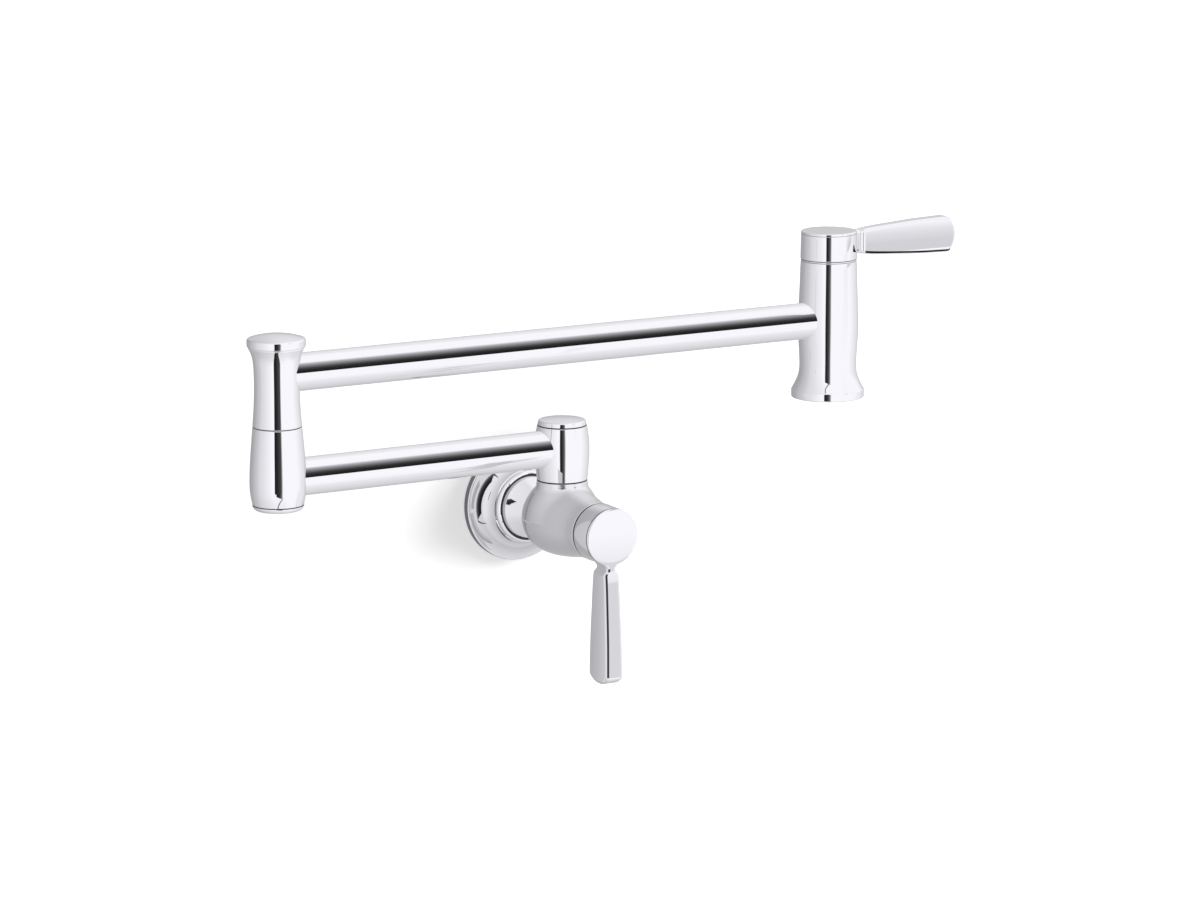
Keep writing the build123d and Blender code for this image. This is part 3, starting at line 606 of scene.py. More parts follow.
# %% Top edge of the skin
CLIMB_ROOM = 0.4
half_turn = np.linspace(0, math.pi, 72)
edge_x, edge_s = NECK_R * np.sin(half_turn), POST_FROM_WALL - NECK_R * np.cos(half_turn)
edge_z = NECK_Z - BEVEL
reach = NECK_R + CLIMB_ROOM
back_s = bulb_line[bulb_line[:, 0] < POST_FROM_WALL - reach, 0]
front_s = bulb_line[bulb_line[:, 0] > POST_FROM_WALL + reach, 0]
back_top, front_top = (bulb_radius(POST_FROM_WALL + side * reach) for side in (-1, 1))
climb = np.linspace(0, 1, 10)[1:-1]
top_s = np.concatenate([
    back_s, POST_FROM_WALL - NECK_R - CLIMB_ROOM * (1 - climb), edge_s,
    POST_FROM_WALL + NECK_R + CLIMB_ROOM * climb, front_s,
])
top_z = np.concatenate([
    bulb_radius(back_s), back_top + (edge_z - back_top) * climb, np.full(len(edge_s), edge_z),
    edge_z + (front_top - edge_z) * climb, bulb_radius(front_s),
])
top_x = np.concatenate([np.zeros(len(back_s) + len(climb)), edge_x, np.zeros(len(climb) + len(front_s))])
print("rings across the bulb and neck", len(top_s))

# %% [markdown]
# ## The valve body: its skin
# Going down a ring, the points first follow the neck and then settle into even rings round the
# bulb. Each point is pushed along a ray from a heart inside the casting until it meets the
# blended form. A remesh would find the same form, but without these clean lines of points.

# %% Skin of the casting
HEART = np.array([0.0, -POST_FROM_WALL, 5.0])
DOWN_STEPS, DOWN_CROWDING = 110, 1.35
SETTLED_AT, LIFT_FADE = 0.55, 0.05


def on_blend(q):
    """Bisects along the ray from the heart through q for the point where the form is zero."""
    ray = q - HEART
    near, far = np.full(q.shape[:-1], 0.5), np.full(q.shape[:-1], 1.6)
    for _ in range(34):
        middle = (near + far) / 2
        inside = blended(HEART + ray * middle[..., None]) < 0
        near, far = np.where(inside, middle, near), np.where(inside, far, middle)
    return HEART + ray * near[..., None]


even_s = np.linspace(top_s[0], top_s[-1], len(top_s))
down = np.linspace(0, 1, DOWN_STEPS) ** DOWN_CROWDING
part = np.clip(down / SETTLED_AT, 0, 1)[None, :]
settle = part * part * (3 - 2 * part)
ring_s = top_s[:, None] * (1 - settle) + even_s[:, None] * settle
lean = np.arctan2(top_x, top_z)[:, None]
ring_t = lean + (math.pi - lean) * down[None, :]
lift = (np.hypot(top_x, top_z) - bulb_radius(top_s))[:, None] * np.exp(-down / LIFT_FADE)[None, :]
ring_r = bulb_radius(ring_s) + lift
right_half = on_blend(np.stack([ring_r * np.sin(ring_t), -ring_s, ring_r * np.cos(ring_t)], axis=-1))
right_half[:, 0] = np.stack([top_x, -top_s, top_z], axis=-1)
left_half = right_half[:, ::-1] * (-1, 1, 1)
print("points on each half", right_half.shape[:2])

# %% [markdown]
# ## The valve body: neck top, tail and rim
# The top of the neck is machined flat with a small bevel, and strips of points across it close
# the rings. The tail in the flange and the rim behind the handle are plain turned forms. They
# could be pieces of their own, but a casting is one piece, so all rings join in one skin.

# %% Close the casting
across = np.array([0.985, 0.96, 0.8, 0.4, 0, -0.4, -0.8, -0.96, -0.985])
cap_x = -top_x[:, None] * across
cap_y = -np.repeat(top_s[:, None], len(across), axis=1)
from_axis = np.hypot(cap_x, cap_y + POST_FROM_WALL)
cap_z = np.where(top_x[:, None] > 0, NECK_Z - BEVEL + np.clip(NECK_R - from_axis, 0, BEVEL), top_z[:, None])
skin = np.concatenate([right_half, left_half[:, 1:], np.stack([cap_x, cap_y, cap_z], axis=-1)], axis=1)
ring_angle = np.concatenate([
    math.pi * down, (2 * math.pi - math.pi * down)[::-1][1:], np.full(len(across), 2 * math.pi),
])
tail_line = chain(
    straight((18, 0), (18, 10.3), (0.3, 10.3), (0, 10.6), (0, TAIL_R - 0.2), (0.2, TAIL_R), (20.6, TAIL_R)),
    arc((20.6, TAIL_R), (21.05, 18.36), (21.4, 18.0), 3),
    straight((30.5, 12.3)),
    arc((30.5, 12.3), (33.4, 11.2), (36.0, 12.6), 14),
)
rim_line = straight((RIM_S - BEVEL, BARREL_R), (RIM_S, BARREL_R - BEVEL), (RIM_S, 0))


def plain_rings(line):
    """Round rings with as many points as the skin: (r sin t, -s, r cos t)."""
    s, r = line[:, 0:1], line[:, 1:2]
    return np.stack([r * np.sin(ring_angle), -s + 0 * ring_angle, r * np.cos(ring_angle)], axis=-1)


body_points = np.concatenate([plain_rings(tail_line), skin[1:], plain_rings(rim_line)])
body_faces = grid_faces(len(body_points), skin.shape[1], False, True)
dress(mesh_object("valve_casting", body_points, body_faces, 34.0), "valve_body", satin_cast)

# %% [markdown]
# ## The lower arm's hub
# A barrel-shaped hub turns on the neck. All the barrels of this tap have the same kind of side:
# a bevel at the foot, a smooth swelling and a bevel at the top. A cylinder with a bevel
# modifier would look stiff beside them, because their bars of reflection would all be straight.

# %% Lower arm hub
HUB_BOTTOM, HUB_TOP = NECK_Z + 0.45, 56.5


def barrel_side(low, low_r, swelling, top, top_r):
    """Side of a barrel: a bevel, a smooth curve through the swelling's points, and a bevel."""
    return chain(
        straight((low_r - BEVEL, low), (low_r, low + BEVEL)),
        smooth([(low_r, low + BEVEL), *swelling, (top_r, top - BEVEL)], steps=12),
        straight((top_r - BEVEL, top)),
    )


lower_hub_side = barrel_side(HUB_BOTTOM, 15.0, [(15.75, 33.0), (16.15, 41.5), (15.75, 50.0)], HUB_TOP, 14.8)
hub_line = chain(straight((9.05, HUB_BOTTOM)), lower_hub_side,
                 straight((11.5, HUB_TOP), (11.5, 53.5), (9.05, 53.5)))
cast_piece("lower_arm_barrel", "lower_arm_hub", hub_line, 0, True)

# %% [markdown]
# ## The lid of the hub
# A shallow cap with a rounded shoulder closes the hub. It could be a dome alone, but the
# shoulder is what catches the bright rim of light in the photograph.

# %% Lower arm lid
lower_lid_line = chain(
    straight((0, HUB_TOP - 0.9), (11.5, HUB_TOP - 0.9), (11.5, HUB_TOP), (14.5 - BEVEL, HUB_TOP),
             (14.5, HUB_TOP + BEVEL)),
    straight((14.2, HUB_TOP + 2.3)),
    arc((14.2, HUB_TOP + 2.3), (13.9, HUB_TOP + 3.0), (13.1, HUB_TOP + 3.35), 8),
    dome(13.1, HUB_TOP + 3.35, HUB_TOP + 4.3),
)
cast_piece("lower_arm_lid", "lower_arm_cap", lower_lid_line, 0)

# %% [markdown]
# ## Seams
# A thin dark line shows where one piece ends and the next begins, because there is a real gap there whose
# inside lies in shade. The line could be painted on the chrome, but it would then vanish from the side. So a
# small black ring fills each gap, proud of the groove and yet inside the piece: painted shade that stands for
# the dark inside of the gap.

# %% Seams of the lower arm
SHADE_RING_DEPTH, SHADE_RING_EDGE, CORNER = 1.0, 0.12, 0.29


def shade_ring(name, node, x, low, high, radius):
    """Black ring that paints the shade inside a gap, on an upright axis between the heights low and high,
    with two outer corners rounded by r. A quarter round passes its corner at r (1 - sqrt(1/2)), or 0.29 r,
    from each side."""
    r = min(SHADE_RING_EDGE, (high - low) / 3)
    line = chain(
        straight((radius - SHADE_RING_DEPTH, low), (radius - r, low)),
        arc((radius - r, low), (radius - r * CORNER, low + r * CORNER), (radius, low + r), 3),
        arc((radius, high - r), (radius - r * CORNER, high - r * CORNER), (radius - r, high), 3),
        straight((radius - SHADE_RING_DEPTH, high)),
    )
    attach(upright_turned(name, line, x, True), node, seam_black)
    print(name, round(high - low, 2), "mm high")


shade_ring("neck_shade_ring", "lower_arm_hub", 0, NECK_Z - 0.22, HUB_BOTTOM + 0.22, 14.9)
shade_ring("lid_shade_ring", "lower_arm_hub", 0, HUB_TOP - 0.15, HUB_TOP + 0.65, 14.56)

# %% [markdown]
# ## The lower half of the elbow
# Two turned halves meet at a swivel seam. The lower one is a barrel that stands on a plug. It
# holds a blind bore for the hollow post on which the upper half turns.

# %% Lower half of the elbow
ELBOW_LOW, ELBOW_Z = 28.5, 73.5
elbow_lower_side = barrel_side(
    ELBOW_LOW, 14.9, [(15.95, 34.5), (16.3, 43.5), (15.7, 56.0), (14.75, ELBOW_Z - 6.0)], ELBOW_Z, 14.3)
elbow_lower_line = chain(
    straight((0, ELBOW_LOW + 5.2), (11.5, ELBOW_LOW + 5.2), (11.5, ELBOW_LOW)),
    elbow_lower_side, straight((9.0, ELBOW_Z), (9.0, 56.0), (0, 56.0)),
)
cast_piece("elbow_lower_barrel", "elbow_lower", elbow_lower_line, ELBOW_X)

# %% [markdown]
# ## The upper half of the elbow
# The upper half is waisted and flares up to a wide flat lid. It is open right through, so its
# outline is a closed ring that never reaches the axis.

# %% Upper half of the elbow
UPPER_LOW, UPPER_TOP = ELBOW_Z + 0.45, 119.6
waist = [(13.5, UPPER_LOW + 9.4), (13.0, 98.0), (13.3, UPPER_TOP - 10.6), (14.4, UPPER_TOP - 4.2)]
elbow_upper_side = barrel_side(UPPER_LOW, 14.2, waist, UPPER_TOP, 16.2)
elbow_upper_line = chain(straight((8.45, UPPER_LOW)), elbow_upper_side,
                         straight((10.3, UPPER_TOP), (10.3, 113.0), (8.45, 113.0)))
cast_piece("elbow_upper_barrel", "elbow_upper", elbow_upper_line, ELBOW_X, True)

# %% [markdown]
# ## The lid of the elbow
# The lid is a disc with an upright edge, a rounded shoulder and a dome that rises barely two
# millimetres. Its edge stands a little proud of the casting and draws a fine line below it.

# %% Elbow lid
elbow_lid_line = chain(
    straight((0, UPPER_TOP - 3.6), (10.3, UPPER_TOP - 3.6), (10.3, UPPER_TOP), (16.1, UPPER_TOP),
             (16.1, UPPER_TOP + 0.3)),
    arc((16.1, UPPER_TOP + 0.3), (16.7, UPPER_TOP + 0.55), (16.9, UPPER_TOP + 1.0), 5),
    straight((16.9, UPPER_TOP + 3.9)),
    arc((16.9, UPPER_TOP + 3.9), (16.6, UPPER_TOP + 4.9), (15.8, UPPER_TOP + 5.4), 10),
    dome(15.8, UPPER_TOP + 5.4, UPPER_TOP + 7.8),
)
cast_piece("elbow_lid", "elbow_cap", elbow_lid_line, ELBOW_X)

# %% [markdown]
# ## The plug under the elbow
# A plug closes the foot of the elbow, and a key turns it out when the swivel is serviced. Its
# key socket faces the floor, so it is a plain round recess. The last two seams of the elbow,
# above the plug and between the halves, come with it.

# %% Plug and seams of the elbow
PLUG_HEAD, KEY_R = 3.5, 4.6
plug_line = chain(
    straight((0, ELBOW_LOW + 4.6), (11.5, ELBOW_LOW + 4.6), (11.5, ELBOW_LOW), (14.8 - BEVEL, ELBOW_LOW),
             (14.8, ELBOW_LOW - BEVEL)),
    arc((14.8, ELBOW_LOW - BEVEL), (14.1, ELBOW_LOW - 2.2), (12.2, ELBOW_LOW - 3.2), 12),
    straight((KEY_R, ELBOW_LOW - PLUG_HEAD), (KEY_R, ELBOW_LOW - 0.2), (0, ELBOW_LOW)),
)
cast_piece("elbow_foot_plug", "elbow_plug", plug_line, ELBOW_X)
shade_ring("elbow_shade_ring", "elbow_lower", ELBOW_X, ELBOW_Z - 0.1, UPPER_LOW + 0.12, 14.0)
shade_ring("plug_shade_ring", "elbow_lower", ELBOW_X, ELBOW_LOW - 0.35, ELBOW_LOW + 0.4, 14.9)

# %% [markdown]
# ## The outlet
# A tall barrel on a wide foot. The foot is open below and holds the aerator, so the outline
# goes up inside the foot before it closes on the axis.

# %% Outlet barrel
FOOT_R, AERATOR_R, OUTLET_R = 22.15, 13.4, 16.9
outlet_side = chain(
    arc((FOOT_R - 0.8, OUTLET_LOW), (FOOT_R - 0.2, OUTLET_LOW + 0.25), (FOOT_R, OUTLET_LOW + 0.9), 6),
    straight((FOOT_R, OUTLET_LOW + 4.6)),
    arc((FOOT_R, OUTLET_LOW + 4.6), (FOOT_R - 0.1, OUTLET_LOW + 5.0), (FOOT_R - 0.35, OUTLET_LOW + 5.3), 4),
    smooth([(FOOT_R - 0.35, OUTLET_LOW + 5.3), (19.6, OUTLET_LOW + 9.6), (17.75, OUTLET_LOW + 15.0),
            (17.3, OUTLET_LOW + 21.0), (17.75, OUTLET_LOW + 30.2), (18.3, OUTLET_LOW + 42.2),
            (17.95, OUTLET_TOP - 25.6), (17.4, OUTLET_TOP - 11.1), (OUTLET_R, OUTLET_TOP - BEVEL)],
           (-0.5, 1), (-0.1, 1), 12),
    straight((OUTLET_R - BEVEL, OUTLET_TOP)),
)
outlet_line = chain(
    straight((0, OUTLET_LOW + 13), (AERATOR_R, OUTLET_LOW + 13), (AERATOR_R, OUTLET_LOW + BEVEL),
             (AERATOR_R + BEVEL, OUTLET_LOW)),
    outlet_side, straight((11.5, OUTLET_TOP), (11.5, OUTLET_TOP - 8), (0, OUTLET_TOP - 8)),
)
cast_piece("outlet_barrel", "outlet_body", outlet_line, OUTLET_X)

# %% [markdown]
# ## The tubes
# A drawn tube is a plain cylinder, but each end is cut to the round of the post it is brazed to.
# A boolean could cut it, yet it leaves ragged faces. Here the end of every line along the tube
# is worked out from where that line meets the post: the post's radius at that height, less the
# line's distance from the post's axis.

# %% Coped tubes
TUBE_R, TUBE_WALL, TUBE_STEPS = 11.0, 1.2, 40
LOWER_TUBE_Z, UPPER_TUBE_Z = 43.1, 104.1


def coped_tube(name, z, start_x, start_side, end_x, end_side):
    """Outer skin at the tube's radius and inner skin at the bore. At angle t the line runs at
    y = r cos t, z + r sin t, from start_x + sqrt(R^2 - y^2) to end_x - sqrt(R^2 - y^2)."""
    t = np.linspace(0, 2 * math.pi, AROUND, endpoint=False)
    along = np.linspace(0, 1, TUBE_STEPS)[:, None]
    layers = []
    for radius, way in ((TUBE_R, 1), (TUBE_R - TUBE_WALL, -1)):
        y, height = radius * np.cos(t), z + radius * np.sin(t)
        x0, x1 = (x + sign * np.sqrt(np.interp(height, side[:, 1], side[:, 0]) ** 2 - y ** 2)
                  for x, side, sign in ((start_x, start_side, 1), (end_x, end_side, -1)))
        x = x0 + (x1 - x0) * along[::way]
        layers.append(np.stack([x, y - POST_FROM_WALL + 0 * x, height + 0 * x], axis=-1))
    points = np.concatenate(layers)
    return mesh_object(name, points, grid_faces(len(points), AROUND, True, True))


for name, z, start_side, end_x, end_side in (
    ("lower", LOWER_TUBE_Z, elbow_lower_side, 0, lower_hub_side),
    ("upper", UPPER_TUBE_Z, elbow_upper_side, OUTLET_X, outlet_side),
):
    tube = coped_tube(name + "_arm_tube", z, ELBOW_X, start_side, end_x, end_side)
    dress(tube, name + "_tube", chrome_tube)

# %% [markdown]
# ## The two handles: where they stand
# Both handles are the same part, one facing the room and one on top of the outlet. Each could
# be modelled once and turned into place, but then its object would not stand at the origin. So
# a small frame of three directions says where each stands: along its own axis, along its lever,
# and across both.

# %% Seats of the two handles
seats = {
    "valve": (np.array([0.0, -RIM_S, 0.0]), np.array([0.0, -1, 0]), np.array([0.0, 0, -1])),
    "outlet": (np.array([OUTLET_X, -POST_FROM_WALL, OUTLET_TOP]), np.array([0.0, 0, 1]),
               np.array([1.0, 0, 0])),
}
for side_name, (origin, axis, lever_way) in seats.items():
    print(side_name, "handle at", origin.round(1), "axis", axis, "lever", lever_way)

# %% [markdown]
# ## The drum, its face and the trim ring
# A handle starts with a thin trim ring, then a drum, and a plain face disc with a rounded edge.
# They could be one outline, but three pieces leave the true joints between them. The lower
# handle's drum stands off its trim ring by a groove that is seen as a line, and the upper one
# sits close.

# %% Drum, face and trim ring
HUB_R, HUB_TOP_R, HUB_H, FACE_T, BOSS_H, TRIM_T = 17.2, 16.9, 15.2, 1.6, 3.2, 0.9
FIRST_SEAM = 1.2
GROOVE = {"valve": 0.7, "outlet": 0.0}
FACE_Z, FACE_R = FIRST_SEAM + HUB_H, HUB_TOP_R - 0.05
trim_line = straight((11.5, 0), (HUB_R - 0.5, 0), (HUB_R - 0.25, BEVEL), (HUB_R - 0.25, TRIM_T - BEVEL),
                     (HUB_R - 0.5, TRIM_T), (11.5, TRIM_T))
face_line = chain(
    straight((0, FACE_Z), (HUB_TOP_R - 0.2, FACE_Z), (FACE_R, FACE_Z + 0.2), (FACE_R, FACE_Z + 0.8)),
    arc((FACE_R, FACE_Z + 0.8), (HUB_TOP_R - 0.2, FACE_Z + 1.35), (HUB_TOP_R - 0.7, FACE_Z + FACE_T), 8),
    straight((14.0, FACE_Z + FACE_T), (8.0, FACE_Z + FACE_T), (0, FACE_Z + FACE_T)),
)


def drum_outline(groove):
    """Boss, underside, a groove of the given height at the foot of the rim, and the rim."""
    foot = FIRST_SEAM + groove
    return chain(
        straight((0, FIRST_SEAM - BOSS_H), (11.2, FIRST_SEAM - BOSS_H), (11.2, FIRST_SEAM),
                 (HUB_R - 0.9, FIRST_SEAM), (HUB_R - 0.9, foot), (HUB_R - BEVEL, foot)),
        arc((HUB_R - BEVEL, foot), (HUB_R - 0.09, foot + 0.09), (HUB_R, foot + BEVEL), 4),
        straight((HUB_TOP_R, FACE_Z - 0.2), (HUB_TOP_R - 0.2, FACE_Z), (0, FACE_Z)),
    )


for side_name, seat in seats.items():
    for part, line, closed, node, slot, finish in (
        ("trim", trim_line, True, "trim_ring", "chrome_trim", chrome_trim),
        ("drum", drum_outline(GROOVE[side_name]), False, "handle_hub", "chrome_handle", chrome_handle),
        ("face", face_line, False, "handle_face", "chrome_handle", chrome_handle),
    ):
        dress(turned(side_name + "_" + part, line, *seat, closed), side_name + "_" + node, finish)

# %% [markdown]
# ## Seams of the handles
# Three thin black rings paint the shade in the joints of a handle: under the trim ring, under the drum and
# under the face. They turn with the drum. Where the groove is open the rings stand out more, so the lines of
# the lower handle are bolder, as they are in the photograph.

# %% Seams of the handles
for side_name, seat in seats.items():
    groove = GROOVE[side_name]
    for label, low, high, radius in (
        ("outer", 0.82, FIRST_SEAM + 0.15 + groove, HUB_R - 0.22 + groove / 7),
        ("inner", -0.12, 0.12, HUB_R - 0.36),
        ("face", FACE_Z - 0.12 - groove / 3, FACE_Z + 0.12, HUB_TOP_R - 0.12 + groove / 4.6),
    ):
        inside = radius - SHADE_RING_DEPTH
        line = straight((inside, low), (radius, low), (radius, high), (inside, high))
        ring = turned(side_name + "_" + label + "_seam", line, *seat, True)
        attach(ring, side_name + "_handle_hub", seam_black)
        print(ring.name, round(high - low, 2), "mm high")

# %% [markdown]
# ## The lever: its two outlines
# Seen broad, the lever flares from the root to a crowned tip. Seen thin, it narrows to a waist
# behind the drum, steps out at two shoulders and then swells slowly. A block with bevels can't
# follow both, so each view gets its own line.

# %% Broad and thin outline of the lever
LEVER_REACH, ROOT_U = 88.8, 10.0
TIP_BACK, TIP_HALF = 4.4, 10.95


def rounded(corners, radii, steps=8):
    """Polygon line with round corners: at each corner the two tangent points lie r / tan(half)
    away and the centre r / sin(half), where half is half the angle between the two sides."""
    p = np.array(corners, float)
    runs = [p[:1]]
    for before, corner, after, r in zip(p[:-2], p[1:-1], p[2:], radii):
        a, b = unit(before - corner), unit(after - corner)
        half = math.acos(np.clip(a @ b, -1, 1)) / 2
        via = corner + unit(a + b) * (r / math.sin(half) - r)
        reach = r / math.tan(half)
        runs.append(arc(corner + a * reach, via, corner + b * reach, steps))
    return chain(*runs, p[-1:])


thin_line = rounded(
    [(ROOT_U, 4.6), (16.6, 4.6), (18.6, 3.0), (20.4, 3.0), (21.9, 4.55), (23.0, 5.1),
     (LEVER_REACH + 4, 5.95)],
    (1.0, 2.0, 1.2, 0.4, 0.5),
)
broad_side = chain(
    straight((ROOT_U, 7.3), (20.2, 7.3)),
    smooth([(20.2, 7.3), (23.4, 7.6), (42.0, 9.15), (62.0, 10.35), (LEVER_REACH - TIP_BACK, TIP_HALF)],
           (1, 0), (1, 0.02), 10),
)
crown_u = LEVER_REACH - TIP_BACK
crown_line = arc((crown_u, TIP_HALF), (LEVER_REACH, 0), (crown_u, -TIP_HALF), 60)
print("lever outline", len(broad_side) + len(crown_line), "points")

# %% [markdown]
# ## The lever: corners at its tip
# The broad outline turns into the crown with a round corner. A bevel on the mesh would also
# touch the long edges, so the corner is worked out on the line itself, from the one circle that
# touches both the side and the crown.

# %% Rounded corner and whole outline
CORNER_R, SPINE_END = 3.2, 11.5


def corner_round(side, crown, r):
    """Rounds the corner between a nearly straight side and the crown: the centre lies r inside
    both, on the side moved in by r and on the crown's circle made smaller by r."""
    a, b = crown[0], crown[len(crown) // 2]
    ball_u = (b[0] ** 2 - a[0] ** 2 - a[1] ** 2) / (2 * (b[0] - a[0]))
    slope = unit(side[-1] - side[-6])
    inward = np.array([slope[1], -slope[0]])
    start = side[-1] + inward * r - np.array([ball_u, 0])
    along = -(start @ slope) + math.sqrt((start @ slope) ** 2 - start @ start + (b[0] - ball_u - r) ** 2)
    centre = side[-1] + inward * r + slope * along
    out = unit(centre - np.array([ball_u, 0]))
    touch_side, touch_crown = centre - inward * r, centre + out * r
    return touch_side, arc(touch_side, centre + unit(out - inward) * r, touch_crown, 10), touch_crown


touch_side, corner_line, touch_crown = corner_round(broad_side, crown_line, CORNER_R)
fine_u = np.unique(np.concatenate([np.linspace(ROOT_U, 26, 90), np.linspace(26, touch_side[0], 60)]))
side_run = np.column_stack([fine_u, np.interp(fine_u, broad_side[:, 0], broad_side[:, 1])])
crown_run = crown_line[np.abs(crown_line[:, 1]) < touch_crown[1] - 0.05]
half_outline = chain(side_run[:-1], corner_line)
outline = chain(half_outline, crown_run, half_outline[::-1] * (1, -1))
step = np.gradient(outline, axis=0)
step /= np.linalg.norm(step, axis=1)[:, None]
outward = np.column_stack([-step[:, 1], step[:, 0]])
spine = np.column_stack([np.clip(outline[:, 0], None, LEVER_REACH - SPINE_END), 0 * outline[:, 0]])
print("corner starts", touch_side.round(2), "and ends", touch_crown.round(2))

# %% [markdown]
# ## The lever: its skin
# The long edges carry the thin dark lines that make this lever, so their section matters more
# than its faces. Each edge turns in small arcs with two narrow flats between them, and each flat
# mirrors one board. The skin is made by walking round the outline and, at every stop, crossing
# the section: from the spine of one face over the edge, down the side and back to the other
# spine.

# %% Edge section and skin of the lever
EDGE_R, FACETS = 0.35, ((27, 1.1), (62, 1.25))
FACE_SHARES = (0.35, 0.7, 0.92, 0.985)


def edge_section():
    """Section of a long edge as pairs (inset from the outline, depth below the face). It turns
    from the face (0 degrees) to the side (90 degrees) in arcs of radius EDGE_R, with a flat at
    each lean of FACETS. A flat of length L that leans by t moves L cos t out and L sin t down,
    and an arc from a to b moves R (sin b - sin a) out and R (cos a - cos b) down."""
    line, before = [np.zeros(2)], 0.0
    for lean, length in (*FACETS, (90, 0.0)):
        t = np.radians(np.linspace(before, lean, 5)[1:])
        start = math.radians(before)
        bend = np.column_stack([math.sin(start) - np.sin(t), math.cos(start) - np.cos(t)])
        line += list(line[-1] + EDGE_R * bend)
        if length:
            line.append(line[-1] + length * np.array([-math.cos(t[-1]), math.sin(t[-1])]))
        before = lean
    line = np.array(line)
    return line - (line[-1, 0], 0)


edge = edge_section()
inner = outline - outward * edge[0, 0]
rows = [(spine, 0.0)] + [(spine + (inner - spine) * share, 0.0) for share in FACE_SHARES]
rows += [(outline - outward * inset, depth) for inset, depth in edge]
upper = [np.column_stack([uw, np.interp(uw[:, 0], *thin_line.T) - depth]) for uw, depth in rows]
lever_grid = np.stack(upper + [row * (1, 1, -1) for row in upper[::-1]])
print("lever skin", lever_grid.shape[:2])

# %% [markdown]
# ## Both levers
# The same skin serves both handles. A point at u along the lever, w along the handle's axis and
# t across becomes u lever + w axis + t third, from a point in the middle of the drum's height.

# %% Place the levers
LEVER_MID = (HUB_H + FACE_T) / 2 + 0.3
lever_faces = grid_faces(*lever_grid.shape[:2], False, True)
u, w, t = (lever_grid[..., k:k + 1] for k in range(3))
for side_name, (origin, axis, lever_way) in seats.items():
    middle = origin + axis * (FIRST_SEAM + LEVER_MID)
    points = middle + u * lever_way + w * axis + t * np.cross(lever_way, axis)
    paddle = mesh_object(side_name + "_paddle", points, lever_faces, 40.0)
    dress(paddle, side_name + "_handle_lever", chrome_handle)

# %% [markdown]
# ## Pieces that keep their own shape
# Everything inside the tap, and the aerator and foam ring, keeps the shape it came with and only
# gets a finish: machined brass, ceramic, rubber, plastic and steel. They could be left plain,
# but they show from below and behind, and when the tap is taken apart.

# %% Finish the remaining nodes
finish_of_slot = {
    "chrome_cast": chrome_cast, "chrome_tube": chrome_tube, "chrome_handle": chrome_handle,
    "chrome_trim": chrome_trim, "brass_inner": brass, "steel_screw": steel, "ceramic": ceramic,
    "black_rubber": rubber, "grey_foam": foam, "white_plastic": white_plastic, "grey_plastic": grey_plastic,
}
for node in frame["nodes"].values():
    for index, material in enumerate(node.data.materials):
        slot_name = material.name.split(".")[0]
        if slot_name in finish_of_slot:
            node.data.materials[index] = finish_of_slot[slot_name]
    node.visible_glossy = False
# The two slip washers take the same black, painted shade that darkens the elbow's swivel seams.
for name in ("swivel_washer", "elbow_washer"):
    frame["nodes"][name].data.materials[0] = seam_black
print("finishes in use", sorted({m.name for o in frame["nodes"].values() for m in o.data.materials}))

# %% [markdown]
# ## The backdrop: a sheet of paper
# A sheet of white paper hangs on the wall and curves out into a floor, so that no edge stands
# between the two. Two planes with a bevel would do as well, but one outline drawn sideways is
# the simplest form.

# %% Paper sweep
WALL_GAP, FLOOR_Z, COVE_R, HALF_WIDTH = 0.4, -700.0, 200.0, 4000.0
PAPER_TOP, PAPER_FRONT = 3000.0, -5000.0
COVE_MID = COVE_R * 0.2929
sweep = chain(
    straight((WALL_GAP, PAPER_TOP), (WALL_GAP, 500.0), (WALL_GAP, FLOOR_Z + COVE_R)),
    arc((WALL_GAP, FLOOR_Z + COVE_R), (WALL_GAP - COVE_MID, FLOOR_Z + COVE_MID),
        (WALL_GAP - COVE_R, FLOOR_Z), 16),
    straight((PAPER_FRONT, FLOOR_Z)),
)
side_x = np.linspace(-HALF_WIDTH, HALF_WIDTH, 3)
paper_points = np.stack(np.broadcast_arrays(side_x, sweep[:, :1], sweep[:, 1:]), axis=-1)
paper_mesh = bpy.data.meshes.new("paper_sweep")
paper_faces = grid_faces(len(sweep), len(side_x), False, False)
paper_mesh.from_pydata((paper_points.reshape(-1, 3) * 0.001).tolist(), [], paper_faces.tolist())
paper_mesh.polygons.foreach_set("use_smooth", np.ones(len(paper_mesh.polygons), bool))
paper_mesh.update()
add_object("paper_sweep", paper_mesh)
print("paper faces", len(paper_mesh.polygons))

# %% [markdown]
# ## The backdrop: its white
# In the photograph the wall is pure white and yet holds a soft shadow beside the flange. More
# light on the paper would also bleach the chrome. So the paper is part lit and part glowing by
# itself, and its own light grows with the distance from the flange, so that only the near
# shadow shows. Every ray but the camera's passes through it and meets the studio instead, and
# so does the camera from behind, so the tap can be looked at from the wall's side too.

# %% White paper
PAPER_TONE = 0.9
# The glow is weakest around a spot just left of the inlet, so the paper there is darker than the lamp alone
# makes it: a painted shadow, added to the lamp's real shadow of the flange.
OWN_LIGHT = (0.32, 0.60)        # strength beside the inlet and far from it
OWN_LIGHT_RISE = (0.035, 0.08)  # the distances, in metres, between which it grows
OWN_LIGHT_SHIFT = 0.008         # the darkest spot lies this far left of the inlet
OWN_LIGHT_SQUASH = 1.3          # upright distances count this much more


def bare_material(name):
    """Material without any shader yet, its net of nodes and its output."""
    material = bpy.data.materials.new(name)
    material.use_nodes = True
    material.node_tree.nodes.clear()
    return material, material.node_tree, material.node_tree.nodes.new("ShaderNodeOutputMaterial")


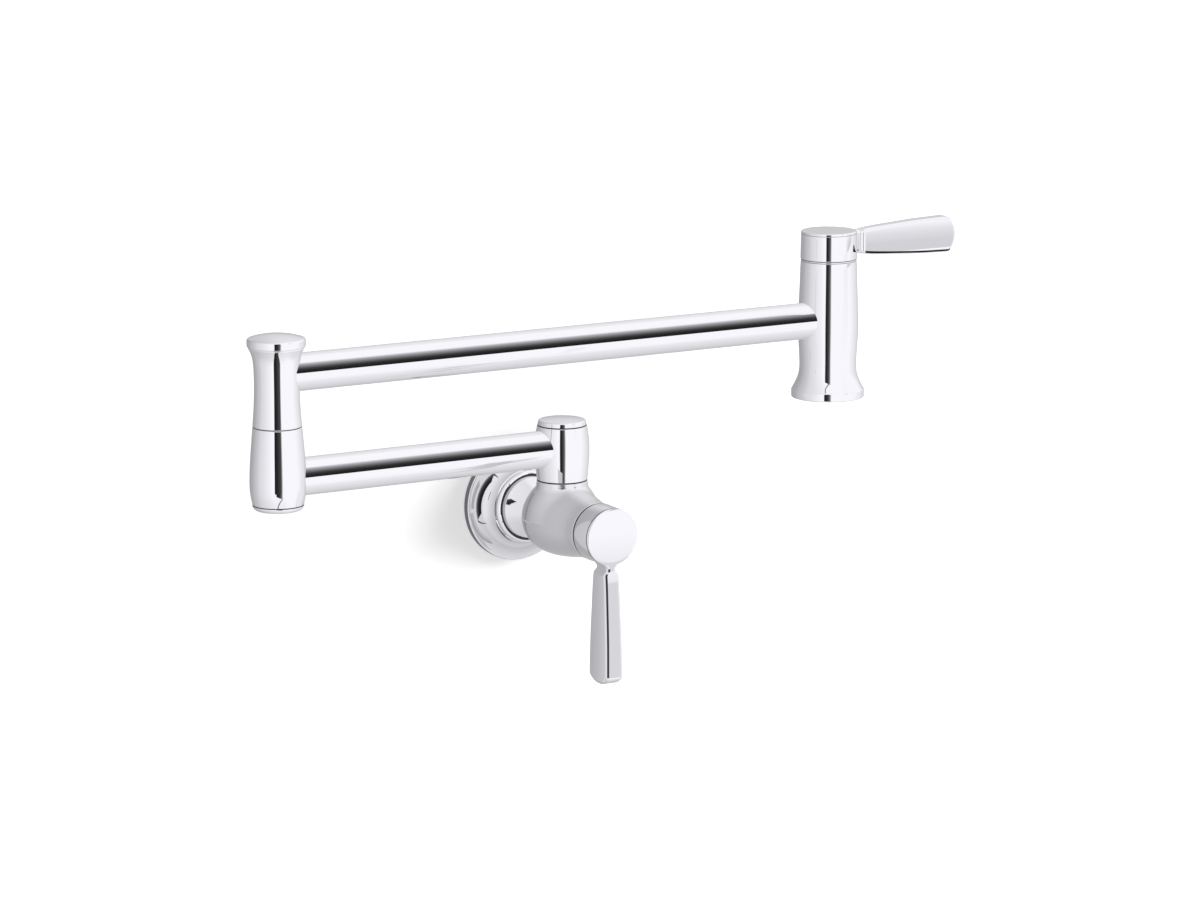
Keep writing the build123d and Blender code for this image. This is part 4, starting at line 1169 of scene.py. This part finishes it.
def paper_material():
    """White paper with its own light, which grows by a smooth step of the distance
    sqrt((x + shift)^2 + (squash z)^2). It is open where 1 - camera ray or backfacing is 1."""
    material, tree, out = bare_material("white_paper")
    scale, shift = (1, 0, OWN_LIGHT_SQUASH), (OWN_LIGHT_SHIFT, 0, 0)
    flat = add_node(tree, "VectorMath", {0: object_place(tree), 1: scale, 2: shift}, operation="MULTIPLY_ADD")
    away = add_node(tree, "VectorMath", {0: flat.outputs["Vector"]}, operation="LENGTH")
    glow = map_range(tree, away.outputs["Value"], *OWN_LIGHT_RISE, *OWN_LIGHT, "SMOOTHSTEP")
    lit = add_node(tree, "BsdfDiffuse", {"Color": (PAPER_TONE, PAPER_TONE, PAPER_TONE, 1)})
    own = add_node(tree, "Emission", {"Strength": glow})
    both = add_node(tree, "AddShader", {0: lit.outputs[0], 1: own.outputs[0]})
    seen = add_node(tree, "LightPath").outputs["Is Camera Ray"]
    behind = add_node(tree, "NewGeometry").outputs["Backfacing"]
    other = add_node(tree, "Math", {0: 1.0, 1: seen}, operation="SUBTRACT")
    hidden = add_node(tree, "Math", {0: other.outputs[0], 1: behind}, operation="MAXIMUM")
    clear = add_node(tree, "BsdfTransparent")
    mix = add_node(tree, "MixShader", {0: hidden.outputs[0], 1: both.outputs[0], 2: clear.outputs[0]})
    tree.links.new(mix.outputs[0], out.inputs["Surface"])
    return material


paper_mesh.materials.append(paper_material())
print("the paper's own light grows from", *OWN_LIGHT)

# %% [markdown]
# ## The studio that the metal sees
# Polished metal shows only its surroundings. A photograph of a room could be wrapped round the
# scene, but a tent written as a function of the direction is smooth and easy to correct. It is
# bright in front and falls off softly towards the wall. The stops below are brightness against
# how far a ray points to the wall. Floor and sides add a little shade and a little glow.

# %% The tent
world = bpy.data.worlds.new("studio_tent")
bpy.context.scene.world = world
world.use_nodes = True
sky = world.node_tree
sky.nodes.clear()


def math_node(operation, *values):
    """Sum, product or another operation on numbers and outputs."""
    return add_node(sky, "Math", enumerate(values), operation=operation).outputs[0]


def step_between(value, low, high, to_low=0.0, to_high=1.0):
    """Smooth step from to_low to to_high while value goes from low to high."""
    return map_range(sky, value, low, high, to_low, to_high, "SMOOTHSTEP")


def blend_values(factor, first, second):
    """first (1 - factor) + second factor."""
    first_part = math_node("MULTIPLY", first, math_node("SUBTRACT", 1.0, factor))
    return math_node("ADD", first_part, math_node("MULTIPLY", second, factor))


direction = add_node(sky, "TexCoord").outputs["Generated"]
to_right, to_wall, to_top = add_node(sky, "SeparateXYZ", {0: direction}).outputs
tent = ramp(sky, math_node("MULTIPLY_ADD", to_wall, 0.5, 0.5), [
    (0.0, 1.0), (0.19, 1.0), (0.25, 0.94), (0.415, 0.84), (0.525, 0.78), (0.635, 0.73),
    (0.725, 0.64), (0.8, 0.58), (0.87, 0.53), (0.925, 0.46), (1.0, 0.38),
])
tent = math_node("MULTIPLY", tent, step_between(to_top, -0.3, -0.8, 1.0, 0.86))
glow_above = step_between(to_top, -0.05, 0.4, 0.06, 0.27)
right_glow = math_node("MULTIPLY", step_between(to_right, 0.0, 0.45), glow_above)
tent = math_node("MINIMUM", math_node("ADD", tent, right_glow), 1.0)
print("nodes in the tent", len(sky.nodes))

# %% [markdown]
# ## The dark gap and the light of the room
# The dark band along both tubes is a gap in the tent, above the table's edge on the right. It
# is darkest at its foot and fades upwards, as a doorway to an unlit room would. Then the rays
# are told apart: mirror rays see the tent, the camera sees plain white, and soft light comes
# from an even grey, so that the tent's shape never changes the brightness of dull pieces.

# %% Dark gap, camera white and ambient light
AMBIENT = 0.45
climb_ratio = math_node("ARCTAN2", to_top, math_node("MULTIPLY", to_wall, -1.0))
rise_angle = math_node("MULTIPLY", climb_ratio, 180 / math.pi / 90)
gap_stops = [(0.0, 0.012), (0.2, 0.02), (0.32, 0.06), (0.45, 0.19), (0.61, 0.45), (0.74, 1.0)]
dark_gap = ramp(sky, rise_angle, gap_stops)
gap_foot, gap_head = step_between(rise_angle, 0.012, 0.02), step_between(rise_angle, 0.82, 0.74)
in_height = math_node("MULTIPLY", gap_foot, gap_head)
in_width = math_node("MULTIPLY", step_between(to_right, 0.395, 0.42), step_between(to_right, 0.575, 0.55))
tent = blend_values(math_node("MULTIPLY", in_height, in_width), tent, dark_gap)
path = add_node(sky, "LightPath")
mirror_rays = math_node("MAXIMUM", path.outputs["Is Glossy Ray"], path.outputs["Is Transmission Ray"])
soft = blend_values(path.outputs["Is Camera Ray"], AMBIENT, 1.0)
strength = blend_values(mirror_rays, soft, tent)
background = add_node(sky, "Background", {"Color": (1, 1, 1, 1), "Strength": strength})
add_node(sky, "OutputWorld", {"Surface": background.outputs[0]})
print("nodes in the world", len(sky.nodes))

# %% [markdown]
# ## A board for the metal
# A product photographer draws the lines in chrome with boards: black flags and white cards held
# just outside the picture. Painting the lines into the material would be wrong as soon as a
# part moves or the camera turns. A board here glows by itself, with one tone curve across it
# and one curve for its soft edges, and only mirror rays meet it.

# %% Boards that only the metal sees
def board(name, corners, axes, tones, covers=((0.0, 1.0),)):
    """Flat board that glows. Its brightness follows straight steps between stops along the first
    axis named, and how much it covers what is behind it does so along the last axis named."""
    corners = np.array(corners, float) * 0.001
    mesh = bpy.data.meshes.new(name)
    mesh.from_pydata(corners.tolist(), [], [tuple(range(len(corners)))])
    piece = add_object(name, mesh)
    piece.visible_camera = piece.visible_diffuse = piece.visible_shadow = piece.visible_transmission = False
    material, tree, out = bare_material(name + "_cloth")
    place = add_node(tree, "SeparateXYZ", {0: object_place(tree)})
    curves = []
    for way, stops in ((axes[0], tones), (axes[-1], covers)):
        column = corners[:, "XYZ".index(way)]
        share = map_range(tree, place.outputs[way], column.min(), column.max())
        curves.append(ramp(tree, share, stops))
    clear, glow = add_node(tree, "BsdfTransparent"), add_node(tree, "Emission", {"Color": curves[0]})
    mix = add_node(tree, "MixShader", {0: curves[1], 1: clear.outputs[0], 2: glow.outputs[0]})
    tree.links.new(mix.outputs[0], out.inputs["Surface"])
    mesh.materials.append(material)


def upright(y, x0, x1, z0, z1):
    """Corners of an upright rectangle that lies parallel to the wall at y."""
    return [(x0, y, z0), (x1, y, z0), (x1, y, z1), (x0, y, z1)]


print("a board takes", len(upright(0, 0, 1, 0, 1)), "corners or more")

# %% [markdown]
# ## The tall black flag
# The dark bar down each post is the mirror image of the main flag, which stands beside the
# camera. A flag far away would put the bar at one place on every post. This one is near enough
# for each post to see it a little to a different side, as in the photograph. It is deep black
# at its left edge and catches some light towards the other. Two slanted arms hold it, and they
# draw the thin slanting ends of the bars.

# %% Main flag and its stand
DEEP_BLACK = 0.012
FLAG_Y, FLAG_LEFT, FLAG_RIGHT, FLAG_LOW, FLAG_HIGH = -1450.0, -1130.0, -316.0, -640.0, 1150.0
board("black_flag", upright(FLAG_Y, FLAG_LEFT, FLAG_RIGHT, FLAG_LOW, FLAG_HIGH), "X",
      ((0.0, DEEP_BLACK), (0.35, 0.02), (0.6, 0.05), (0.85, 0.17), (1.0, 0.3)),
      ((0.0, 0.0), (0.06, 1.0), (0.82, 1.0), (1.0, 0.0)))
arm_low = ((FLAG_RIGHT, FLAG_LOW), (FLAG_RIGHT - 90, FLAG_LOW), (-1440, -1500), (-1400, -1540))
arm_high = ((FLAG_RIGHT - 300, FLAG_HIGH), (FLAG_RIGHT - 180, FLAG_HIGH), (-1290, 2300), (-1350, 2280))
for label, arm, left_tone, right_tone in (("low", arm_low, 0.1, 0.05), ("high", arm_high, 0.2, 0.1)):
    board("flag_stand_" + label, [(x, FLAG_Y, z) for x, z in arm], "X", ((0.0, left_tone), (1.0, right_tone)))
print("flag", FLAG_RIGHT - FLAG_LEFT, "by", FLAG_HIGH - FLAG_LOW, "mm")

# %% [markdown]
# ## Small flags
# The elbow is strongly waisted, and a far straight flag would bend along it. Its own flag stands
# close, cut to a shape whose reflection is straight. A second small one under the outlet lever
# draws the dark line along its lower edge.

# %% Elbow flag and lever flag
CARD_Y = -108
ELBOW_CUT = ((-225.7, 21.5), (-199.8, 25.5), (-199.9, 44), (-197.4, 73),
             (-195.2, 97), (-227.3, 97), (-226.0, 73), (-225.0, 44))
board("elbow_flag", [(x, CARD_Y, z) for x, z in ELBOW_CUT], "X",
      ((0.0, DEEP_BLACK), (0.45, 0.02), (0.8, 0.06), (1.0, 0.1)),
      ((0.0, 0.0), (0.04, 1.0), (0.95, 1.0), (1.0, 0.0)))
LINE_LEFT, LINE_RIGHT, LINE_Z, LINE_FALL = 209, 284, 143, 0.12
line_corners = ((LINE_LEFT, -75), (LINE_RIGHT, -75), (LINE_RIGHT, -62), (LINE_LEFT, -62))
board("outlet_lever_flag", [(x, y, LINE_Z - LINE_FALL * (x - LINE_LEFT)) for x, y in line_corners],
      "Y", ((0.0, DEEP_BLACK), (1.0, DEEP_BLACK)))
print("elbow flag has", len(ELBOW_CUT), "corners")

# %% [markdown]
# ## Grey cards
# A flat face mirrors one small patch of the studio, and would be a plain white or black field.
# Cards with a soft change of grey in front of the levers, the drum and the face disc give each
# flat its quiet gradient.

# %% Grey cards
FRONT_CARD_Y, SIDE_CARD_Y = -160, -95
board("outlet_lever_card", upright(CARD_Y, 216, 304, 134, 160.5), "ZX",
      ((0.0, 0.68), (0.23, 0.69), (0.3, 0.73), (0.38, 0.765), (0.45, 0.8), (0.53, 0.87), (0.6, 0.94),
       (0.66, 1.0)),
      ((0.0, 0.0), (0.2, 1.0)))
board("front_card", upright(FRONT_CARD_Y, 4, 42, -106, 10), "Z",
      ((0.0, 0.72), (0.655, 0.72), (0.675, 0.885), (0.76, 0.95), (0.84, 1.0), (1.0, 1.0)))
board("lever_side_card", upright(SIDE_CARD_Y, -34, -11, -114, -25), "X",
      ((0.0, 0.8), (0.35, 0.74), (0.9, 0.5), (1.0, 0.48)))
board("drum_side_card", upright(SIDE_CARD_Y, -38, -20, -20, 20), "X", ((0.0, 0.64), (1.0, 0.56)))

# %% [markdown]
# ## White bounces and the ring at the wall
# Where the dark gap would draw a hard notch on a post, a white bounce fills it in. Last, a dark
# ring on the wall beside the flange stands for the flange's own shadow, which the polished edge
# mirrors.

# %% Bounces and wall ring
for label, tone, corners in (
    ("hub", 0.98, ((13, 50), (25, 50), (35, 94), (21.5, 94))),
    ("lid", 1.0, ((-171.5, 124), (-160, 124), (-150, 165), (-166, 165))),
    ("foot", 1.0, ((193, 66), (222, 66), (234, 135), (207, 135))),
    ("lever", 1.0, ((203, 161), (312, 161), (312, 226), (203, 226))),
):
    board(label + "_bounce", [(x, CARD_Y, z) for x, z in corners], "Z", ((0.0, tone), (1.0, tone - 0.06)))
ring_angles = np.radians(np.linspace(134, 262, 49))
ring_edges = ((FLANGE_R + 0.3, 1), (FLANGE_R + 6, -1))
wall_ring = [(r * math.cos(t), -0.3, r * math.sin(t)) for r, way in ring_edges for t in ring_angles[::way]]
board("wall_ring", wall_ring, "X", ((0.0, 0.16), (1.0, 0.18)))
print("wall ring has", len(wall_ring), "corners")

# %% [markdown]
# ## The lamp
# One broad soft lamp stands on the right, close to the wall, so that the flange drops a gentle
# shadow to its lower left, while the shadows of the arms, which are far off the wall, melt away.
# A sun would draw hard shadows. The metal doesn't see the lamp itself, because the tent already
# holds what it should see.

# %% Key lamp
LAMP_AT, LAMP_SIZE, LAMP_WATTS = (3.2, -1.0, 0.95), 1.8, 120.0


def look_back(back):
    """Rotation whose third axis is back, with the world's up as near as it can be."""
    back = unit(np.array(back, float))
    right = unit(np.cross((0, 0, 1), back))
    return Matrix(np.column_stack([right, np.cross(back, right), back]).tolist())


lamp_data = bpy.data.lights.new("key_lamp", "AREA")
lamp_data.shape, lamp_data.size, lamp_data.energy = "SQUARE", LAMP_SIZE, LAMP_WATTS
lamp = add_object("key_lamp", lamp_data)
lamp.matrix_world = Matrix.Translation(LAMP_AT) @ look_back(LAMP_AT).to_4x4()
lamp.visible_glossy = False
print("lamp", LAMP_WATTS, "watts from", LAMP_AT)

# %% [markdown]
# ## The camera
# It looks from the left and a little from above, from nearly three metres away with a long lens,
# so the two arms stay almost parallel. A wide lens close by would show as much, but the near
# handle would swell.

# %% Camera
CAMERA_AT = (-1385.45, -2508.98, 606.57)
CAMERA_BACK = (-0.48918, -0.84969, 0.19680)
LENS_MM, SENSOR_MM = 146.03, 36.0
camera_data = bpy.data.cameras.new("product_camera")
camera_data.lens, camera_data.sensor_width = LENS_MM, SENSOR_MM
camera_data.clip_start, camera_data.clip_end = 0.1, 30.0
camera = add_object("product_camera", camera_data)
camera.matrix_world = Matrix.Translation([c * 0.001 for c in CAMERA_AT]) @ look_back(CAMERA_BACK).to_4x4()
bpy.context.scene.camera = camera
bpy.context.scene.view_settings.view_transform = "Standard"
print("camera", round(math.dist(CAMERA_AT, (0, 0, 0))), "mm away, lens", LENS_MM, "mm")
